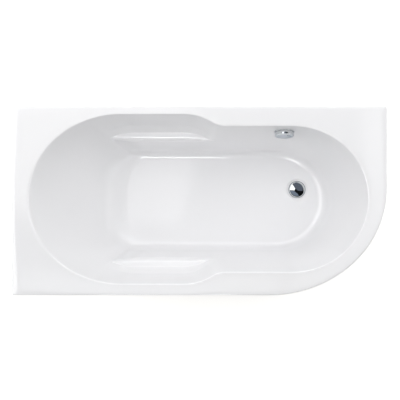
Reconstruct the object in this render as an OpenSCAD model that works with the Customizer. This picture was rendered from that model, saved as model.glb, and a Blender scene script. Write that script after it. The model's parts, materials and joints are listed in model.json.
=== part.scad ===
// A p shaped shower bath: a white acrylic bath with one large rounded front corner at the drain end,
// on five adjustable feet, with its pop-up waste, overflow control and trap.
// +X points to the drain end, +Y to the wall, +Z up. The floor under the feet is at Z 0.

/* [Rim] */
// Overall length of the rim, along X
bath_length = 1500; // [1494:1:1506]
// Overall width of the rim, along Y
bath_width = 757; // [754:1:762]
// Height of the rim's top above the floor that the feet stand on
rim_height = 580; // [576:1:590]
// Depth of the skirt that hangs round the rim
skirt_depth = 35; // [32:1:38]
// Length of the large rounded front corner, along X
corner_length = 472; // [460:1:480]
// Width of the large rounded front corner, along Y
corner_width = 425; // [415:1:430]
// Radius of the rim's three small corners
rim_corner_r = 8; // [8:1:12]
// Radius of the rim's outer top edge
rim_edge_r = 6; // [5:0.5:6.5]

/* [Bowl] */
// Head end of the opening, from the rim's centre
opening_head = 683; // [680:1:686]
// Drain end of the opening, from the rim's centre
opening_drain = 674; // [671:1:677]
// Half of the opening's width beside the drain
opening_half_width = 291; // [289:1:294]
// Extra width on each side for the elbows, above the armrests
elbow_room = 48; // [45:1:50]
// Depth from the rim to the floor beside the drain
floor_depth = 417; // [410:1:420]
// Depth from the rim to the armrests
armrest_depth = 217; // [210:1:224]
// Head end of the floor, from the rim's centre
floor_head = 328; // [320:1:334]
// Drain end of the floor, from the rim's centre
floor_drain = 518; // [512:1:522]
// Half of the floor's width
floor_half_width = 186; // [184:1:190]

/* [Fittings] */
// Distance of the drain's centre from the rim's centre, along X
drain_x = 422; // [416:1:426]
// Distance of the drain's centre from the rim's centre line, towards the wall
drain_y = 48; // [44:1:52]
// Distance of the overflow knob from the rim's centre, along X
overflow_x = 345; // [340:1:347]
// Depth from the rim to the overflow knob's centre
overflow_depth = 82; // [80:1:86]
// Diameter of the overflow knob
knob_d = 76; // [72:1:77]
// Diameter of the waste's domed plug
plug_d = 68; // [66:1:69]

/* [Hidden] */
$fn = 72;

shell_t = 5;
glassfibre_t = 3;
bond_gap = 0.3;
stack_t = shell_t + bond_gap + glassfibre_t;
contact = 0.1;          // paper-thin gap between pieces that are clamped together

acrylic_white = [0.95, 0.95, 0.96];
resin = [0.78, 0.76, 0.66];
board = [0.76, 0.62, 0.42];
zinc = [0.72, 0.74, 0.76];
chrome = [0.8, 0.82, 0.85];
black_plastic = [0.12, 0.12, 0.13];
white_plastic = [0.93, 0.93, 0.92];
grey_rubber = [0.3, 0.3, 0.31];

// ---- The bowl -----------------------------------------------------------------------------
// Every ring round the bath has a point at each station. A station is [stretch, share, side]:
// stretches 0 drain cap, 1 narrow side, 2 reverse curve, 3 wide side, 4 head cap, share 0 to 1
// from the drain end to the head end, side +1 towards the wall and -1 towards the room.
cap_steps = 10;
corner_pinch = 0.012;
cap_half = [for (i = [0:cap_steps / 2 - 1]) i / cap_steps];
cap_second_half = [for (i = [cap_steps / 2 + 1:cap_steps - 1]) i / cap_steps];
cap_with_corner = concat(cap_half, [0.5 - corner_pinch, 0.5, 0.5 + corner_pinch], cap_second_half);
cap_plain = concat(cap_half, [0.5], cap_second_half);
head_shares = concat([0, 0.05, 0.1, 0.15], [for (s = cap_with_corner) if (s > 0.15) s]);
narrow_steps = 3;
curve_steps = 6;
wide_steps = 3;
function run(n) = [for (i = [0:n - 1]) i / n];
function towards_head(stretch, shares) = [for (s = shares) [stretch, s, 1]];
function towards_drain(stretch, shares) = [for (s = shares) [stretch, 1 - s, -1]];
stations = concat(
    towards_head(0, concat(cap_with_corner, [0.95])),
    towards_head(1, run(narrow_steps)),
    towards_head(2, run(curve_steps)),
    towards_head(3, run(wide_steps)),
    towards_head(4, head_shares),
    towards_drain(4, concat([0], [for (k = [len(head_shares) - 1:-1:1]) 1 - head_shares[k]])),
    towards_drain(3, run(wide_steps)),
    towards_drain(2, run(curve_steps)),
    towards_drain(1, run(narrow_steps)),
    towards_drain(0, cap_plain)
);
count = len(stations);

half_l = bath_length / 2;
half_w = bath_width / 2;

// Outline of the bowl at a share f of the way from the opening (0) to the floor (1).
opening_mid_y = 6.9;
floor_mid_y = 0.5;
opening_drain_cap = 304;
opening_head_cap = 375;
floor_drain_cap = 186;
floor_head_cap = 128;
floor_head_power = 2.6;     // the floor's two head corners are those of a superellipse
narrow_from = 105;          // the reverse curve's two ends at the opening
wide_from = -64;
narrow_draw = 75;           // how far they move towards the head on the way down
wide_draw = 30;
curve_share_wide = 0.68;    // share of the reverse curve taken by its wide-side arc

function lerp(a, b, t) = a + (b - a) * t;
function half_width(f) = lerp(opening_half_width, floor_half_width, f);
function mid_y(f) = lerp(opening_mid_y, floor_mid_y, f);

// Share of the elbow room at a share s along the reverse curve, which is two arcs.
function reverse_curve(s, length) = let (
    turn = 2 * atan(elbow_room / length),
    r_sum = length / sin(turn),
    r_wide = curve_share_wide * r_sum,
    r_narrow = r_sum - r_wide,
    x = s * length)
    x < r_narrow * sin(turn)
    ? (r_narrow - sqrt(pow(r_narrow, 2) - pow(x, 2))) / elbow_room
    : 1 - (r_wide - sqrt(pow(r_wide, 2) - pow(length - x, 2))) / elbow_room;

// A point of the outline at a station, with e of elbow room there.
function bowl_xy(station, f, e) = let (
    stretch = station[0],
    s = station[1],
    b = half_width(f),
    drain_cap = lerp(opening_drain_cap, floor_drain_cap, f),
    head_cap = lerp(opening_head_cap, floor_head_cap, f),
    power = lerp(2, floor_head_power, f),
    x_drain = lerp(opening_drain, floor_drain, f) - drain_cap,
    x_head = head_cap - lerp(opening_head, floor_head, f),
    x_narrow = narrow_from - narrow_draw * f,
    x_wide = wide_from - wide_draw * f,
    q = stretch == 0 ? [x_drain + drain_cap * cos(90 * s), b * sin(90 * s)]
      : stretch == 1 ? [lerp(x_drain, x_narrow, s), b]
      : stretch == 2 ? [lerp(x_narrow, x_wide, s), b + e * reverse_curve(s, x_narrow - x_wide)]
      : stretch == 3 ? [lerp(x_wide, x_head, s), b + e]
      : [x_head - head_cap * pow(sin(90 * s), 2 / power), (b + e) * pow(cos(90 * s), 2 / power)])
    [q[0], mid_y(f) + station[2] * q[1]];

// The wall comes down straight to the flare, which sweeps out to a crease at the floor's edge.
roll_drop = 5;
flare_f = 0.72;
flare_drop = 362;
crease_drop = 415.5;
flare_power = 3.1;
flare_linear = 0.28;
function wall_f(drop) = flare_f * (drop - roll_drop) / (flare_drop - roll_drop);
function flare(t) = (1 - flare_linear) * (1 - pow(1 - t, flare_power)) + flare_linear * t;

// The armrest: how much of the elbow room is left at each level, from the armrest's own level.
armrest_profile = [[-50, 1], [-34, 0.94], [-9, 0.76], [-4, 0.7], [-1, 0.27], [1.5, 0.2], [13, 0.035], [22, 0]];
armrest_head_fade = 0.24;   // the armrests run out to a point over this share of the head cap
function elbow(station, f, left) =
    elbow_room * lerp(1 - f, left, station[0] == 4 ? 1 - pow(min(1, station[1] / armrest_head_fade), 1.5) : 1);

// The floor falls gently towards the drain.
floor_fall = 0.012;
floor_top = rim_height - floor_depth;
function floor_z(x) = floor_top + floor_fall * max(0, drain_x - x);
function drop_scale(station) = (rim_height - floor_z(bowl_xy(station, 1, 0)[0])) / floor_depth;

function at(list, i) = list[(i + len(list)) % len(list)];
function unit(v) = v / norm(v);
function wall_ring(f, drop, left) = [for (st = stations) let (p = bowl_xy(st, f, elbow(st, f, left)))
    [p[0], p[1], rim_height - drop * drop_scale(st)]];
function plain_ring(drop, left) = wall_ring(wall_f(drop), drop, left);

// The rim's own outline, moved inwards by q.
corner_x = half_l - corner_length;      // centre of the large corner's ellipse
corner_y = corner_width - half_w;
function ellipse_x(y, q) = corner_x + (corner_length - q) * sqrt(max(0, 1 - pow((corner_y - y) / (corner_width - q), 2)));
function ellipse_y(x, q) = x < corner_x ? q - half_w
    : corner_y - (corner_width - q) * sqrt(max(0, 1 - pow((x - corner_x) / (corner_length - q), 2)));

function outer_xy(station, q) = let (
    stretch = station[0],
    side = station[2],
    r = max(1, rim_corner_r - q),
    x0 = half_l - q,
    y0 = half_w - q,
    end = stretch == 0 ? 1 : -1,
    s = stretch == 0 ? station[1] : 1 - station[1],
    cap_x = bowl_xy([stretch == 0 ? 1 : 3, stretch == 0 ? 0 : 1, 1], 0, 0)[0],
    mid = opening_mid_y)
    stretch > 0 && stretch < 4 ? let (x = bowl_xy(station, 0, 0)[0]) [x, side > 0 ? y0 : ellipse_y(x, q)]
    : stretch == 0 && side < 0 ? let (
        from = acos((corner_y - mid) / (corner_width - q)),
        to = asin((cap_x - corner_x) / (corner_length - q)),
        a = lerp(from, to, s))
        [corner_x + (corner_length - q) * sin(a), corner_y - (corner_width - q) * cos(a)]
    : abs(s - 0.5) < corner_pinch / 2 ? [end * (x0 - r * (1 - sqrt(0.5))), side * (y0 - r * (1 - sqrt(0.5)))]
    : s < 0.5 ? let (y = lerp(mid, side * (y0 - r), s / (0.5 - corner_pinch)))
        [end > 0 && y < corner_y ? ellipse_x(y, q) : end * x0, y]
    : [lerp(end * (x0 - r), cap_x, (s - 0.5 - corner_pinch) / (0.5 - corner_pinch)), side * y0];
function outer_ring(q, z) = [for (st = stations) let (p = outer_xy(st, q)) [p[0], p[1], z]];

// The rim rolls over into the bowl along a curve that meets the deck and the wall squarely.
opening = [for (st = stations) bowl_xy(st, 0, elbow(st, 0, 1))];
opening_out = [for (i = [0:count - 1]) let (d = at(opening, i + 1) - at(opening, i - 1)) unit([d[1], -d[0]])];
slope_probe = 60;
wall_slope = [for (i = [0:count - 1]) let (p = bowl_xy(stations[i], wall_f(slope_probe), elbow(stations[i], wall_f(slope_probe), 1)))
    (opening[i] - p) * opening_out[i] / (slope_probe - roll_drop)];
function roll_ring(t) = [for (i = [0:count - 1]) let (
    knee = roll_drop * wall_slope[i],
    reach = roll_drop * sqrt(1 + pow(wall_slope[i], 2)),
    p = opening[i] + opening_out[i] * (pow(1 - t, 2) * (knee + reach) + 2 * t * (1 - t) * knee))
    [p[0], p[1], rim_height - t * t * roll_drop]];

// Floor rings converge on the round dish that the drain sits in.
dish_r = 46;
dish_depth = 3;
dish_z = floor_top - dish_depth;
drain_hole_r = 26;
drain = [drain_x, drain_y];
floor_edge = [for (st = stations) bowl_xy(st, 1, 0)];
function round_drain(p, r) = drain + unit(p - drain) * r;
function floor_ring(s) = [for (p = floor_edge) let (q = lerp(p, round_drain(p, dish_r), s)) [q[0], q[1], floor_z(q[0])]];
function dish_ring(r, z) = [for (p = floor_edge) let (q = round_drain(p, r)) [q[0], q[1], z]];

// All rings of the shell's upper face, from the skirt's lower edge to the middle of the drain.
flare_shares = [0.2, 0.42, 0.66, 1];
top_rings = concat(
    [outer_ring(0, rim_height - skirt_depth)],
    [for (a = [0, 45, 90]) outer_ring(rim_edge_r * (1 - cos(a)), rim_height - rim_edge_r * (1 - sin(a)))],
    [for (t = [0, 1 / 3, 2 / 3]) roll_ring(t)],
    [for (drop = [roll_drop, 18, 60, 120]) plain_ring(drop, 1)],
    [for (level = armrest_profile) plain_ring(armrest_depth + level[0], level[1])],
    [for (drop = [295, flare_drop]) plain_ring(drop, 0)],
    [for (t = flare_shares) wall_ring(lerp(flare_f, 1, t), lerp(flare_drop, crease_drop, flare(t)), 0)],
    [for (s = [0.03, 1]) floor_ring(s)],
    [dish_ring(dish_r - 3, dish_z + 0.6), dish_ring(dish_r - 6, dish_z), dish_ring(drain_hole_r - 3, dish_z)]
);
last_ring = len(top_rings) - 1;
first_wall_ring = 8;        // the glass fibre starts below the roll-over
top_normals = [for (k = [0:last_ring]) [for (i = [0:count - 1]) let (
    along = at(top_rings[k], i + 1) - at(top_rings[k], i - 1),
    across = top_rings[min(last_ring, k + 1)][i] - top_rings[max(0, k - 1)][i])
    unit(cross(along, across))]];
function lowered(t, rings) = [for (k = rings) [for (i = [0:count - 1]) top_rings[k][i] - t * top_normals[k][i]]];

// A closed skin through rings of points, the last ring joined to the first. Its first few rows are
// split along their other diagonals, so that they run alongside a reversed skin of the same rings.
module skin(rings, other_rows = 0) {
    rows = len(rings);
    n = len(rings[0]);
    faces = [for (k = [0:rows - 1], i = [0:n - 1]) let (
        a = k * n + i,
        b = k * n + (i + 1) % n,
        c = (k + 1) % rows * n + (i + 1) % n,
        d = (k + 1) % rows * n + i)
        each k < other_rows ? [[a, d, b], [b, d, c]] : [[a, c, b], [a, d, c]]];
    polyhedron([for (r = rings) each r], faces);
}

module bowl_holes() {
    translate([drain_x, drain_y, 0]) cylinder(r = drain_hole_r, h = rim_height);
    at_overflow() cylinder(r = overflow_hole_r, h = 60, center = true);
}

module acrylic_shell() {
    under = [for (k = [last_ring:-1:0]) if (k != 2 && k != 5 && k != 9) k];
    color(acrylic_white) difference() {
        skin(concat(top_rings, lowered(shell_t, under)));
        bowl_holes();
    }
}

module glassfibre_backing() {
    inside = [for (k = [first_wall_ring:last_ring]) if (k != 9) k];
    outside = [for (k = [last_ring:-1:first_wall_ring]) if (k < 9 || (k > 9 && k < 15) || k > 17) k];
    color(resin) difference() {
        skin(concat(lowered(shell_t + bond_gap, inside), lowered(stack_t, outside)), len(inside) - 1);
        bowl_holes();
    }
}

// ---- Board, rails and battens ---------------------------------------------------------------
board_t = 12;
board_head = -300;
board_drain = 352;
board_half_width = 150;
board_corner_r = 30;
board_tilt = atan(floor_fall);
function board_top(x) = floor_z(x) - stack_t - bond_gap;
function board_bottom(x) = board_top(x) - board_t;

module baseboard() {
    length = board_drain - board_head;
    color(board)
        translate([board_drain, floor_mid_y, board_top(board_drain)]) rotate([0, board_tilt, 0])
        translate([-length, 0, -board_t]) linear_extrude(board_t)
        for (x = [board_corner_r, length - board_corner_r], y = [-1, 1] * (board_half_width - board_corner_r)) {
            translate([x, y]) circle(r = board_corner_r);
            translate([board_corner_r, -board_half_width]) square([length - 2 * board_corner_r, 2 * board_half_width]);
            translate([0, board_corner_r - board_half_width]) square([length, 2 * (board_half_width - board_corner_r)]);
        }
}

deck_under = rim_height - shell_t - contact;
batten_h = 20;
batten_t = 12;
batten_from_edge = 9;       // the wall brackets stand between the skirt and the battens
batten_end = half_l - 40;
module batten(from, to) color(board)
    translate([min(from[0], to[0]), min(from[1], to[1]), deck_under - batten_h])
    cube([abs(to[0] - from[0]), abs(to[1] - from[1]), batten_h]);

module rim_batten_wall() batten([-batten_end, half_w - batten_from_edge - batten_t], [batten_end, half_w - batten_from_edge]);
module rim_batten_head() batten([-half_l + batten_from_edge, -290], [-half_l + batten_from_edge + 20, 290]);
module rim_batten_front() batten([-batten_end, -half_w + 7], [corner_x - 10, -half_w + 7 + batten_t]);
module rim_batten_drain() batten([half_l - batten_from_edge - 20, corner_y + 15], [half_l - batten_from_edge, 320]);

// Strip of plywood bent round the large corner.
module rim_batten_corner() {
    steps = 16;
    function arc(q) = [for (i = [0:steps]) let (a = lerp(4, 84, i / steps))
        [corner_x + (corner_length - q) * sin(a), corner_y - (corner_width - q) * cos(a)]];
    outside = arc(8);
    inside = arc(8 + batten_t);
    color(board) translate([0, 0, deck_under - batten_h]) linear_extrude(batten_h)
        polygon(concat(outside, [for (i = [steps:-1:0]) inside[i]]));
}

rail_w = 30;
rail_h = 24;
rail_t = 2;
rail_half_l = 305;
rail_head_x = -250;
rail_drain_x = 310;
foot_y = 272;               // distance of the outer feet from the bowl's centre line
rod_r = 6;
rod_clearance = 0.05;
function rail_top(x) = board_bottom(x + rail_w / 2) - contact;

// Steel channel, open downwards, with a hole for a leg rod near each end.
module leg_rail(x) color(zinc) translate([x, 0, rail_top(x)]) difference() {
    translate([-rail_w / 2, -rail_half_l, -rail_h]) cube([rail_w, 2 * rail_half_l, rail_h]);
    translate([-rail_w / 2 + rail_t, -rail_half_l - 1, -rail_h - 1])
        cube([rail_w - 2 * rail_t, 2 * rail_half_l + 2, rail_h - rail_t + 1]);
    for (side = [-1, 1]) translate([0, side * foot_y, -rail_h]) cylinder(r = rod_r + 0.5, h = rail_h + 1);
    for (side = [-1, 1], y = rail_screw_y) translate([0, side * y, -rail_h]) cylinder(r = 2.6, h = rail_h + 1);
}
module leg_rail_head() leg_rail(rail_head_x);
module leg_rail_drain() leg_rail(rail_drain_x);

// Hat-shaped bracket under the middle of the board.
centre_foot_x = 30;
hat_drop = 28;
hat_web_half = 16;
hat_flange_half = 34;
hat_half_l = 30;
hat_top = board_bottom(centre_foot_x + hat_flange_half) - contact;
module centre_foot_bracket() color(zinc) translate([centre_foot_x, floor_mid_y, hat_top]) difference() {
    rotate([90, 0, 0]) linear_extrude(2 * hat_half_l, center = true) difference() {
        polygon([[-hat_flange_half, 0], [hat_flange_half, 0], [hat_flange_half, -rail_t], [hat_web_half, -rail_t],
                 [hat_web_half, -hat_drop], [-hat_web_half, -hat_drop], [-hat_web_half, -rail_t], [-hat_flange_half, -rail_t]]);
        translate([-hat_web_half + rail_t, rail_t - hat_drop]) square([2 * (hat_web_half - rail_t), hat_drop]);
    }
    translate([0, 0, -hat_drop - 1]) cylinder(r = rod_r + 0.5, h = 10);
    for (x = hat_screws, y = [-18, 18]) translate([x, y, -10]) cylinder(r = 2.6, h = 20);
}

rail_screw_y = [60, 125];
hat_screws = [-25, 25];
screw_r = 2.5;
screw_l = 10;
// Pan-headed screw that points up, with the underside of its head at the origin.
module pan_screw() {
    translate([0, 0, -3]) cylinder(r = 4.6, h = 3 - contact);
    translate([0, 0, -1]) cylinder(r = screw_r, h = screw_l + 1);
}
module rail_screws() color(zinc) {
    for (x = [rail_head_x, rail_drain_x], side = [-1, 1], y = rail_screw_y)
        translate([x, side * y, rail_top(x) - rail_t]) pan_screw();
    for (x = hat_screws, y = [-18, 18])
        translate([centre_foot_x + x, floor_mid_y + y, hat_top - rail_t]) pan_screw();
}

// ---- Feet -------------------------------------------------------------------------------------
// Each foot is [x, y, level of the steel that its two nuts clamp].
feet = [
    [rail_head_x, -foot_y, rail_top(rail_head_x)],
    [rail_head_x, foot_y, rail_top(rail_head_x)],
    [rail_drain_x, -foot_y, rail_top(rail_drain_x)],
    [rail_drain_x, foot_y, rail_top(rail_drain_x)],
    [centre_foot_x, floor_mid_y, hat_top - hat_drop + rail_t],
];
nut_h = 9;
nut_flat_r = 11;
pad_r = 27;
pad_socket_z = 9;

module at_foot(k) translate([feet[k][0], feet[k][1], 0]) children();

module leg_rod(k) color(zinc) at_foot(k)
    translate([0, 0, pad_socket_z]) cylinder(r = rod_r, h = feet[k][2] + nut_h + (k < 4 ? 10 : 1) - pad_socket_z);

module foot_pad(k) color(black_plastic) at_foot(k) difference() {
    union() {
        rotate_extrude() polygon([[0, 0], [pad_r - 1.5, 0], [pad_r, 1.5], [pad_r, 6], [pad_r - 2, 8], [15, 12], [13, 16], [0, 16]]);
        cylinder(r = 12, h = 24, $fn = 6);
    }
    translate([0, 0, pad_socket_z]) cylinder(r = rod_r + rod_clearance, h = 20);
}

module leg_nuts(k) color(zinc) at_foot(k) difference() {
    union() {
        translate([0, 0, feet[k][2] + contact]) cylinder(r = nut_flat_r, h = nut_h, $fn = 6);
        translate([0, 0, feet[k][2] - rail_t - contact - nut_h]) cylinder(r = nut_flat_r, h = nut_h, $fn = 6);
    }
    cylinder(r = rod_r + rod_clearance, h = rim_height);
}

module leg_rod_1() leg_rod(0);
module leg_rod_2() leg_rod(1);
module leg_rod_3() leg_rod(2);
module leg_rod_4() leg_rod(3);
module leg_rod_5() leg_rod(4);
module foot_pad_1() foot_pad(0);
module foot_pad_2() foot_pad(1);
module foot_pad_3() foot_pad(2);
module foot_pad_4() foot_pad(3);
module foot_pad_5() foot_pad(4);
module leg_nuts_1() leg_nuts(0);
module leg_nuts_2() leg_nuts(1);
module leg_nuts_3() leg_nuts(2);
module leg_nuts_4() leg_nuts(3);
module leg_nuts_5() leg_nuts(4);

// ---- Wall brackets ------------------------------------------------------------------------------
// Each bracket is [x, y, turn]: turned so that its own +Y points at the wall.
brackets = [[-430, half_w, 0], [430, half_w, 0], [-half_l, 60, 90], [half_l, 200, -90]];
bracket_w = 36;
bracket_t = 2.5;
bracket_low = rim_height - skirt_depth - 65;
bracket_hole_z = bracket_low + 18;
bracket_hole_x = 10;
bracket_screw_x = 9;
bracket_screw_in = 15;
bracket_seat = deck_under - batten_h - contact;
module at_bracket(k) translate([brackets[k][0], brackets[k][1], 0]) rotate(brackets[k][2]) children();

// Joggled steel strip: its leg lies on the wall and its foot lies under the batten.
module wall_bracket(k) color(zinc) at_bracket(k) difference() {
    rotate([0, 0, 90]) rotate([90, 0, 0]) linear_extrude(bracket_w, center = true) polygon([
        [0, bracket_low], [0, bracket_seat - 22], [-6, bracket_seat - 12], [-6, bracket_seat], [-21, bracket_seat],
        [-21, bracket_seat - bracket_t], [-6 - bracket_t, bracket_seat - bracket_t],
        [-6 - bracket_t, bracket_seat - 12.8], [-bracket_t, bracket_seat - 22.8], [-bracket_t, bracket_low]]);
    for (x = [-1, 1] * bracket_hole_x)
        translate([x, 1, bracket_hole_z]) rotate([90, 0, 0]) cylinder(r = 3, h = 10);
    for (x = [-1, 1] * bracket_screw_x)
        translate([x, -bracket_screw_in, bracket_seat - 6]) cylinder(r = 2.6, h = 12);
}
module wall_bracket_1() wall_bracket(0);
module wall_bracket_2() wall_bracket(1);
module wall_bracket_3() wall_bracket(2);
module wall_bracket_4() wall_bracket(3);
module bracket_screws() color(zinc) for (k = [0:3]) at_bracket(k) for (x = [-1, 1] * bracket_screw_x)
    translate([x, -bracket_screw_in, bracket_seat - bracket_t]) pan_screw();

// ---- Waste ------------------------------------------------------------------------------------
waste_seat = dish_z - stack_t;
flange_r = 35;
flange_bore_r = 21;
flange_tail_r = 23.8;
flange_z = dish_z + 1.3;
flange_h = 2.8;
tail_end = dish_z - 24;
guide_z = dish_z - 20;
stem_r = 3;
lever_x = -15;
lever_z = dish_z - 40;
stem_end = lever_z - 2.9;
plug_z = flange_z + flange_h + 0.4;
plug_h = 9;
seal_h = 2.2;

module at_drain() translate([drain_x, drain_y, 0]) children();

// Hollow round piece with square edges.
module ring(z0, z1, r_in, r_out) translate([0, 0, z0]) difference() {
    cylinder(r = r_out, h = z1 - z0);
    translate([0, 0, -1]) cylinder(r = r_in, h = z1 - z0 + 2);
}

module flange_gasket() color(grey_rubber) at_drain() ring(dish_z + contact, flange_z - contact, 24.2, 33);

module waste_flange() color(chrome) at_drain() {
    rotate_extrude() polygon([
        [flange_bore_r, tail_end], [flange_tail_r, tail_end], [flange_tail_r, flange_z], [flange_r, flange_z],
        [flange_r, flange_z + 1], [flange_r - 1.5, flange_z + 2.3], [flange_r - 4, flange_z + flange_h],
        [flange_bore_r + 1.5, flange_z + flange_h], [flange_bore_r, flange_z + flange_h - 1.5]]);
    difference() {
        union() {
            translate([0, 0, guide_z]) cylinder(r = 7, h = 8);
            for (a = [0, 60, 120]) rotate(a) translate([-flange_bore_r - 1, -1.5, guide_z]) cube([2 * flange_bore_r + 2, 3, 4]);
        }
        translate([0, 0, guide_z - 1]) cylinder(r = stem_r + 0.05, h = 10);
    }
}

module plug_seal() color(grey_rubber) at_drain() ring(plug_z - 0.3, plug_z + seal_h - 0.3, 14, 27);

// Domed plug with a shallow skirt round the seal.
module waste_plug() color(chrome) at_drain() rotate_extrude() polygon(concat(
    [for (i = [0:10]) let (a = 9 * i) [(plug_d / 2) * cos(a), plug_z + 1.2 + (plug_h - 1.2) * pow(sin(a), 1.1)]],
    [[0, plug_z + seal_h], [plug_d / 2 - 3, plug_z + seal_h], [plug_d / 2 - 3, plug_z], [plug_d / 2, plug_z]]));

// Stem under the plug, with a round end that rides on the lever.
module plug_stem() color(zinc) at_drain() {
    translate([0, 0, stem_end + stem_r]) cylinder(r = stem_r, h = plug_z + seal_h - contact - stem_end - stem_r);
    translate([0, 0, stem_end + stem_r]) sphere(r = stem_r);
}

module waste_body_seal() color(grey_rubber) at_drain() ring(waste_seat - 3.2, waste_seat - 0.2, 26.5, 38);

body_top = waste_seat - 3.3;
body_r = 29;
body_in_r = 24;
body_low = dish_z - 48;
spigot_r = 19;
spigot_in_r = 16;
spigot_low = body_low - 20;
hose_port_z = dish_z - 31;
port_r = 10;
port_in_r = 8;
port_end = 58;
cable_port_z = dish_z - 29;
cable_port_end = 50;
pin_r = 1.5;

// Cup under the drain, with a side port for the hose, one for the cable and a spigot for the trap.
module waste_body() color(black_plastic) at_drain() difference() {
    union() {
        translate([0, 0, body_low]) cylinder(r = body_r, h = body_top - body_low);
        translate([0, 0, body_top - 4]) cylinder(r = 38, h = 4);
        translate([0, 0, spigot_low]) cylinder(r = spigot_r, h = 30);
        translate([0, 0, hose_port_z]) rotate([-90, 0, 0]) cylinder(r = port_r, h = port_end);
        translate([0, 0, cable_port_z]) rotate([0, -90, 0]) cylinder(r = 4.5, h = cable_port_end);
    }
    translate([0, 0, body_low + 4]) cylinder(r = body_in_r, h = 80);
    translate([0, 0, spigot_low - 1]) cylinder(r = spigot_in_r, h = 40);
    translate([0, 0, hose_port_z]) rotate([-90, 0, 0]) cylinder(r = port_in_r, h = port_end + 1);
    translate([0, 0, cable_port_z]) rotate([0, -90, 0]) cylinder(r = cable_r + 0.1, h = cable_port_end + 1);
    translate([lever_x, 0, lever_z]) rotate([90, 0, 0]) cylinder(r = pin_r + 0.05, h = 60, center = true);
}

module lever_pin() color(zinc) at_drain()
    translate([lever_x, 0, lever_z]) rotate([90, 0, 0]) cylinder(r = pin_r, h = 46, center = true);

// Bell crank: its long arm lifts the stem and its short arm takes the cable. The plug's lift
// swings the long arm from lever_tilt below the level to as much above it.
lever_w = 8;
lever_tilt = 18.4;
module lift_lever() color(zinc) at_drain() translate([lever_x, 0, lever_z]) rotate([0, lever_tilt, 0]) difference() {
    union() {
        rotate([90, 0, 0]) cylinder(r = 3.4, h = lever_w, center = true);
        translate([0, -lever_w / 2, -1.5]) cube([19, lever_w, 3]);
        translate([-1.5, -2.5, 0]) cube([3, 5, cable_port_z - lever_z + 2]);
    }
    rotate([90, 0, 0]) cylinder(r = pin_r + 0.05, h = lever_w + 2, center = true);
    translate([0, 0, cable_port_z - lever_z - 1]) rotate([0, 90, 0]) cylinder(r = 0.8, h = 10, center = true);
}

// ---- Overflow -----------------------------------------------------------------------------------
// Frame on the bowl's wall: own +Z points out of the wall into the bowl, own -Y down the wall.
overflow_hole_r = 26;
overflow_f = wall_f(overflow_depth);
overflow_y = mid_y(overflow_f) + half_width(overflow_f);
below_f = wall_f(overflow_depth + 30);
wall_draft = atan((overflow_y - mid_y(below_f) - half_width(below_f)) / 30);
module at_overflow() translate([overflow_x, overflow_y, rim_height - overflow_depth]) rotate([90 - wall_draft, 0, 0]) children();

plate_r = knob_d / 2 + 3;
plate_back = 1;
plate_front = 3.6;
knob_back = 4.2;
knob_h = 18;
knob_front = knob_back + knob_h;
spindle_r = 4;
boss_y = 18;
body_front = -stack_t - 3.4;
body_back = -40;
port_depth = -27;

module overflow_plate() color(chrome) at_overflow() difference() {
    union() {
        rotate_extrude() polygon([[30, plate_back], [plate_r, plate_back], [plate_r, plate_front - 1.2],
                                  [plate_r - 1.2, plate_front], [30, plate_front]]);
        for (a = [0, 90]) rotate(a) translate([-31, -4.5, plate_back]) cube([62, 9, plate_front - plate_back]);
        translate([0, 0, -6]) cylinder(r = 9, h = plate_front + 6);
    }
    translate([0, 0, -10]) cylinder(r = spindle_r + 0.05, h = 20);
    for (y = [-1, 1] * boss_y) translate([0, y, -10]) cylinder(r = 2.6, h = 20);
}

module overflow_seal() color(grey_rubber) at_overflow() ring(body_front + contact, -stack_t - 0.2, 26.5, 36);

// Cup behind the wall, with the hose spigot and the cable's port at its lower side.
module overflow_body() color(black_plastic) at_overflow() difference() {
    union() {
        difference() {
            union() {
                translate([0, 0, body_back]) cylinder(r = 30, h = body_front - body_back);
                translate([0, 0, body_front - 3]) cylinder(r = 36, h = 3);
                translate([hose_port_x, 0, port_depth]) rotate([90, 0, 0]) cylinder(r = port_r, h = port_end);
                translate([cable_port_x, 0, port_depth]) rotate([90, 0, 0]) cylinder(r = 4.5, h = overflow_cable_end);
            }
            translate([0, 0, body_back + 3]) cylinder(r = 25, h = 60);
        }
        for (y = [-1, 1] * boss_y) translate([0, y, body_back + 1]) cylinder(r = 4.5, h = body_front - body_back - 1);
        translate([0, 0, body_back + 1]) cylinder(r = 7, h = 7);
    }
    for (y = [-1, 1] * boss_y) translate([0, y, body_back + 6]) cylinder(r = screw_r + 0.05, h = 60);
    translate([0, 0, body_back + 4]) cylinder(r = spindle_r + 0.05, h = 60);
    translate([hose_port_x, -22, port_depth]) rotate([90, 0, 0]) cylinder(r = port_in_r, h = port_end);
    translate([cable_port_x, -20, port_depth]) rotate([90, 0, 0]) cylinder(r = cable_r + 0.1, h = port_end);
}
hose_port_x = 10;
cable_port_x = -14;
overflow_cable_end = 44;

module overflow_screws() color(zinc) at_overflow() for (y = [-1, 1] * boss_y) translate([0, y, plate_front]) {
    translate([0, 0, -26]) cylinder(r = screw_r, h = 26.2);
    translate([0, 0, contact]) cylinder(r = 4.4, h = 2.2);
}

// Spindle with the cam that winds in the cable.
module overflow_spindle() color(zinc) at_overflow() {
    translate([0, 0, body_back + 5]) cylinder(r = spindle_r, h = knob_front - 6 - body_back - 5);
    translate([0, 0, port_depth - 2.5]) cylinder(r = 11, h = 5);
    translate([-8, 0, port_depth - 2.5]) cylinder(r = 1.5, h = 8);
}

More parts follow.
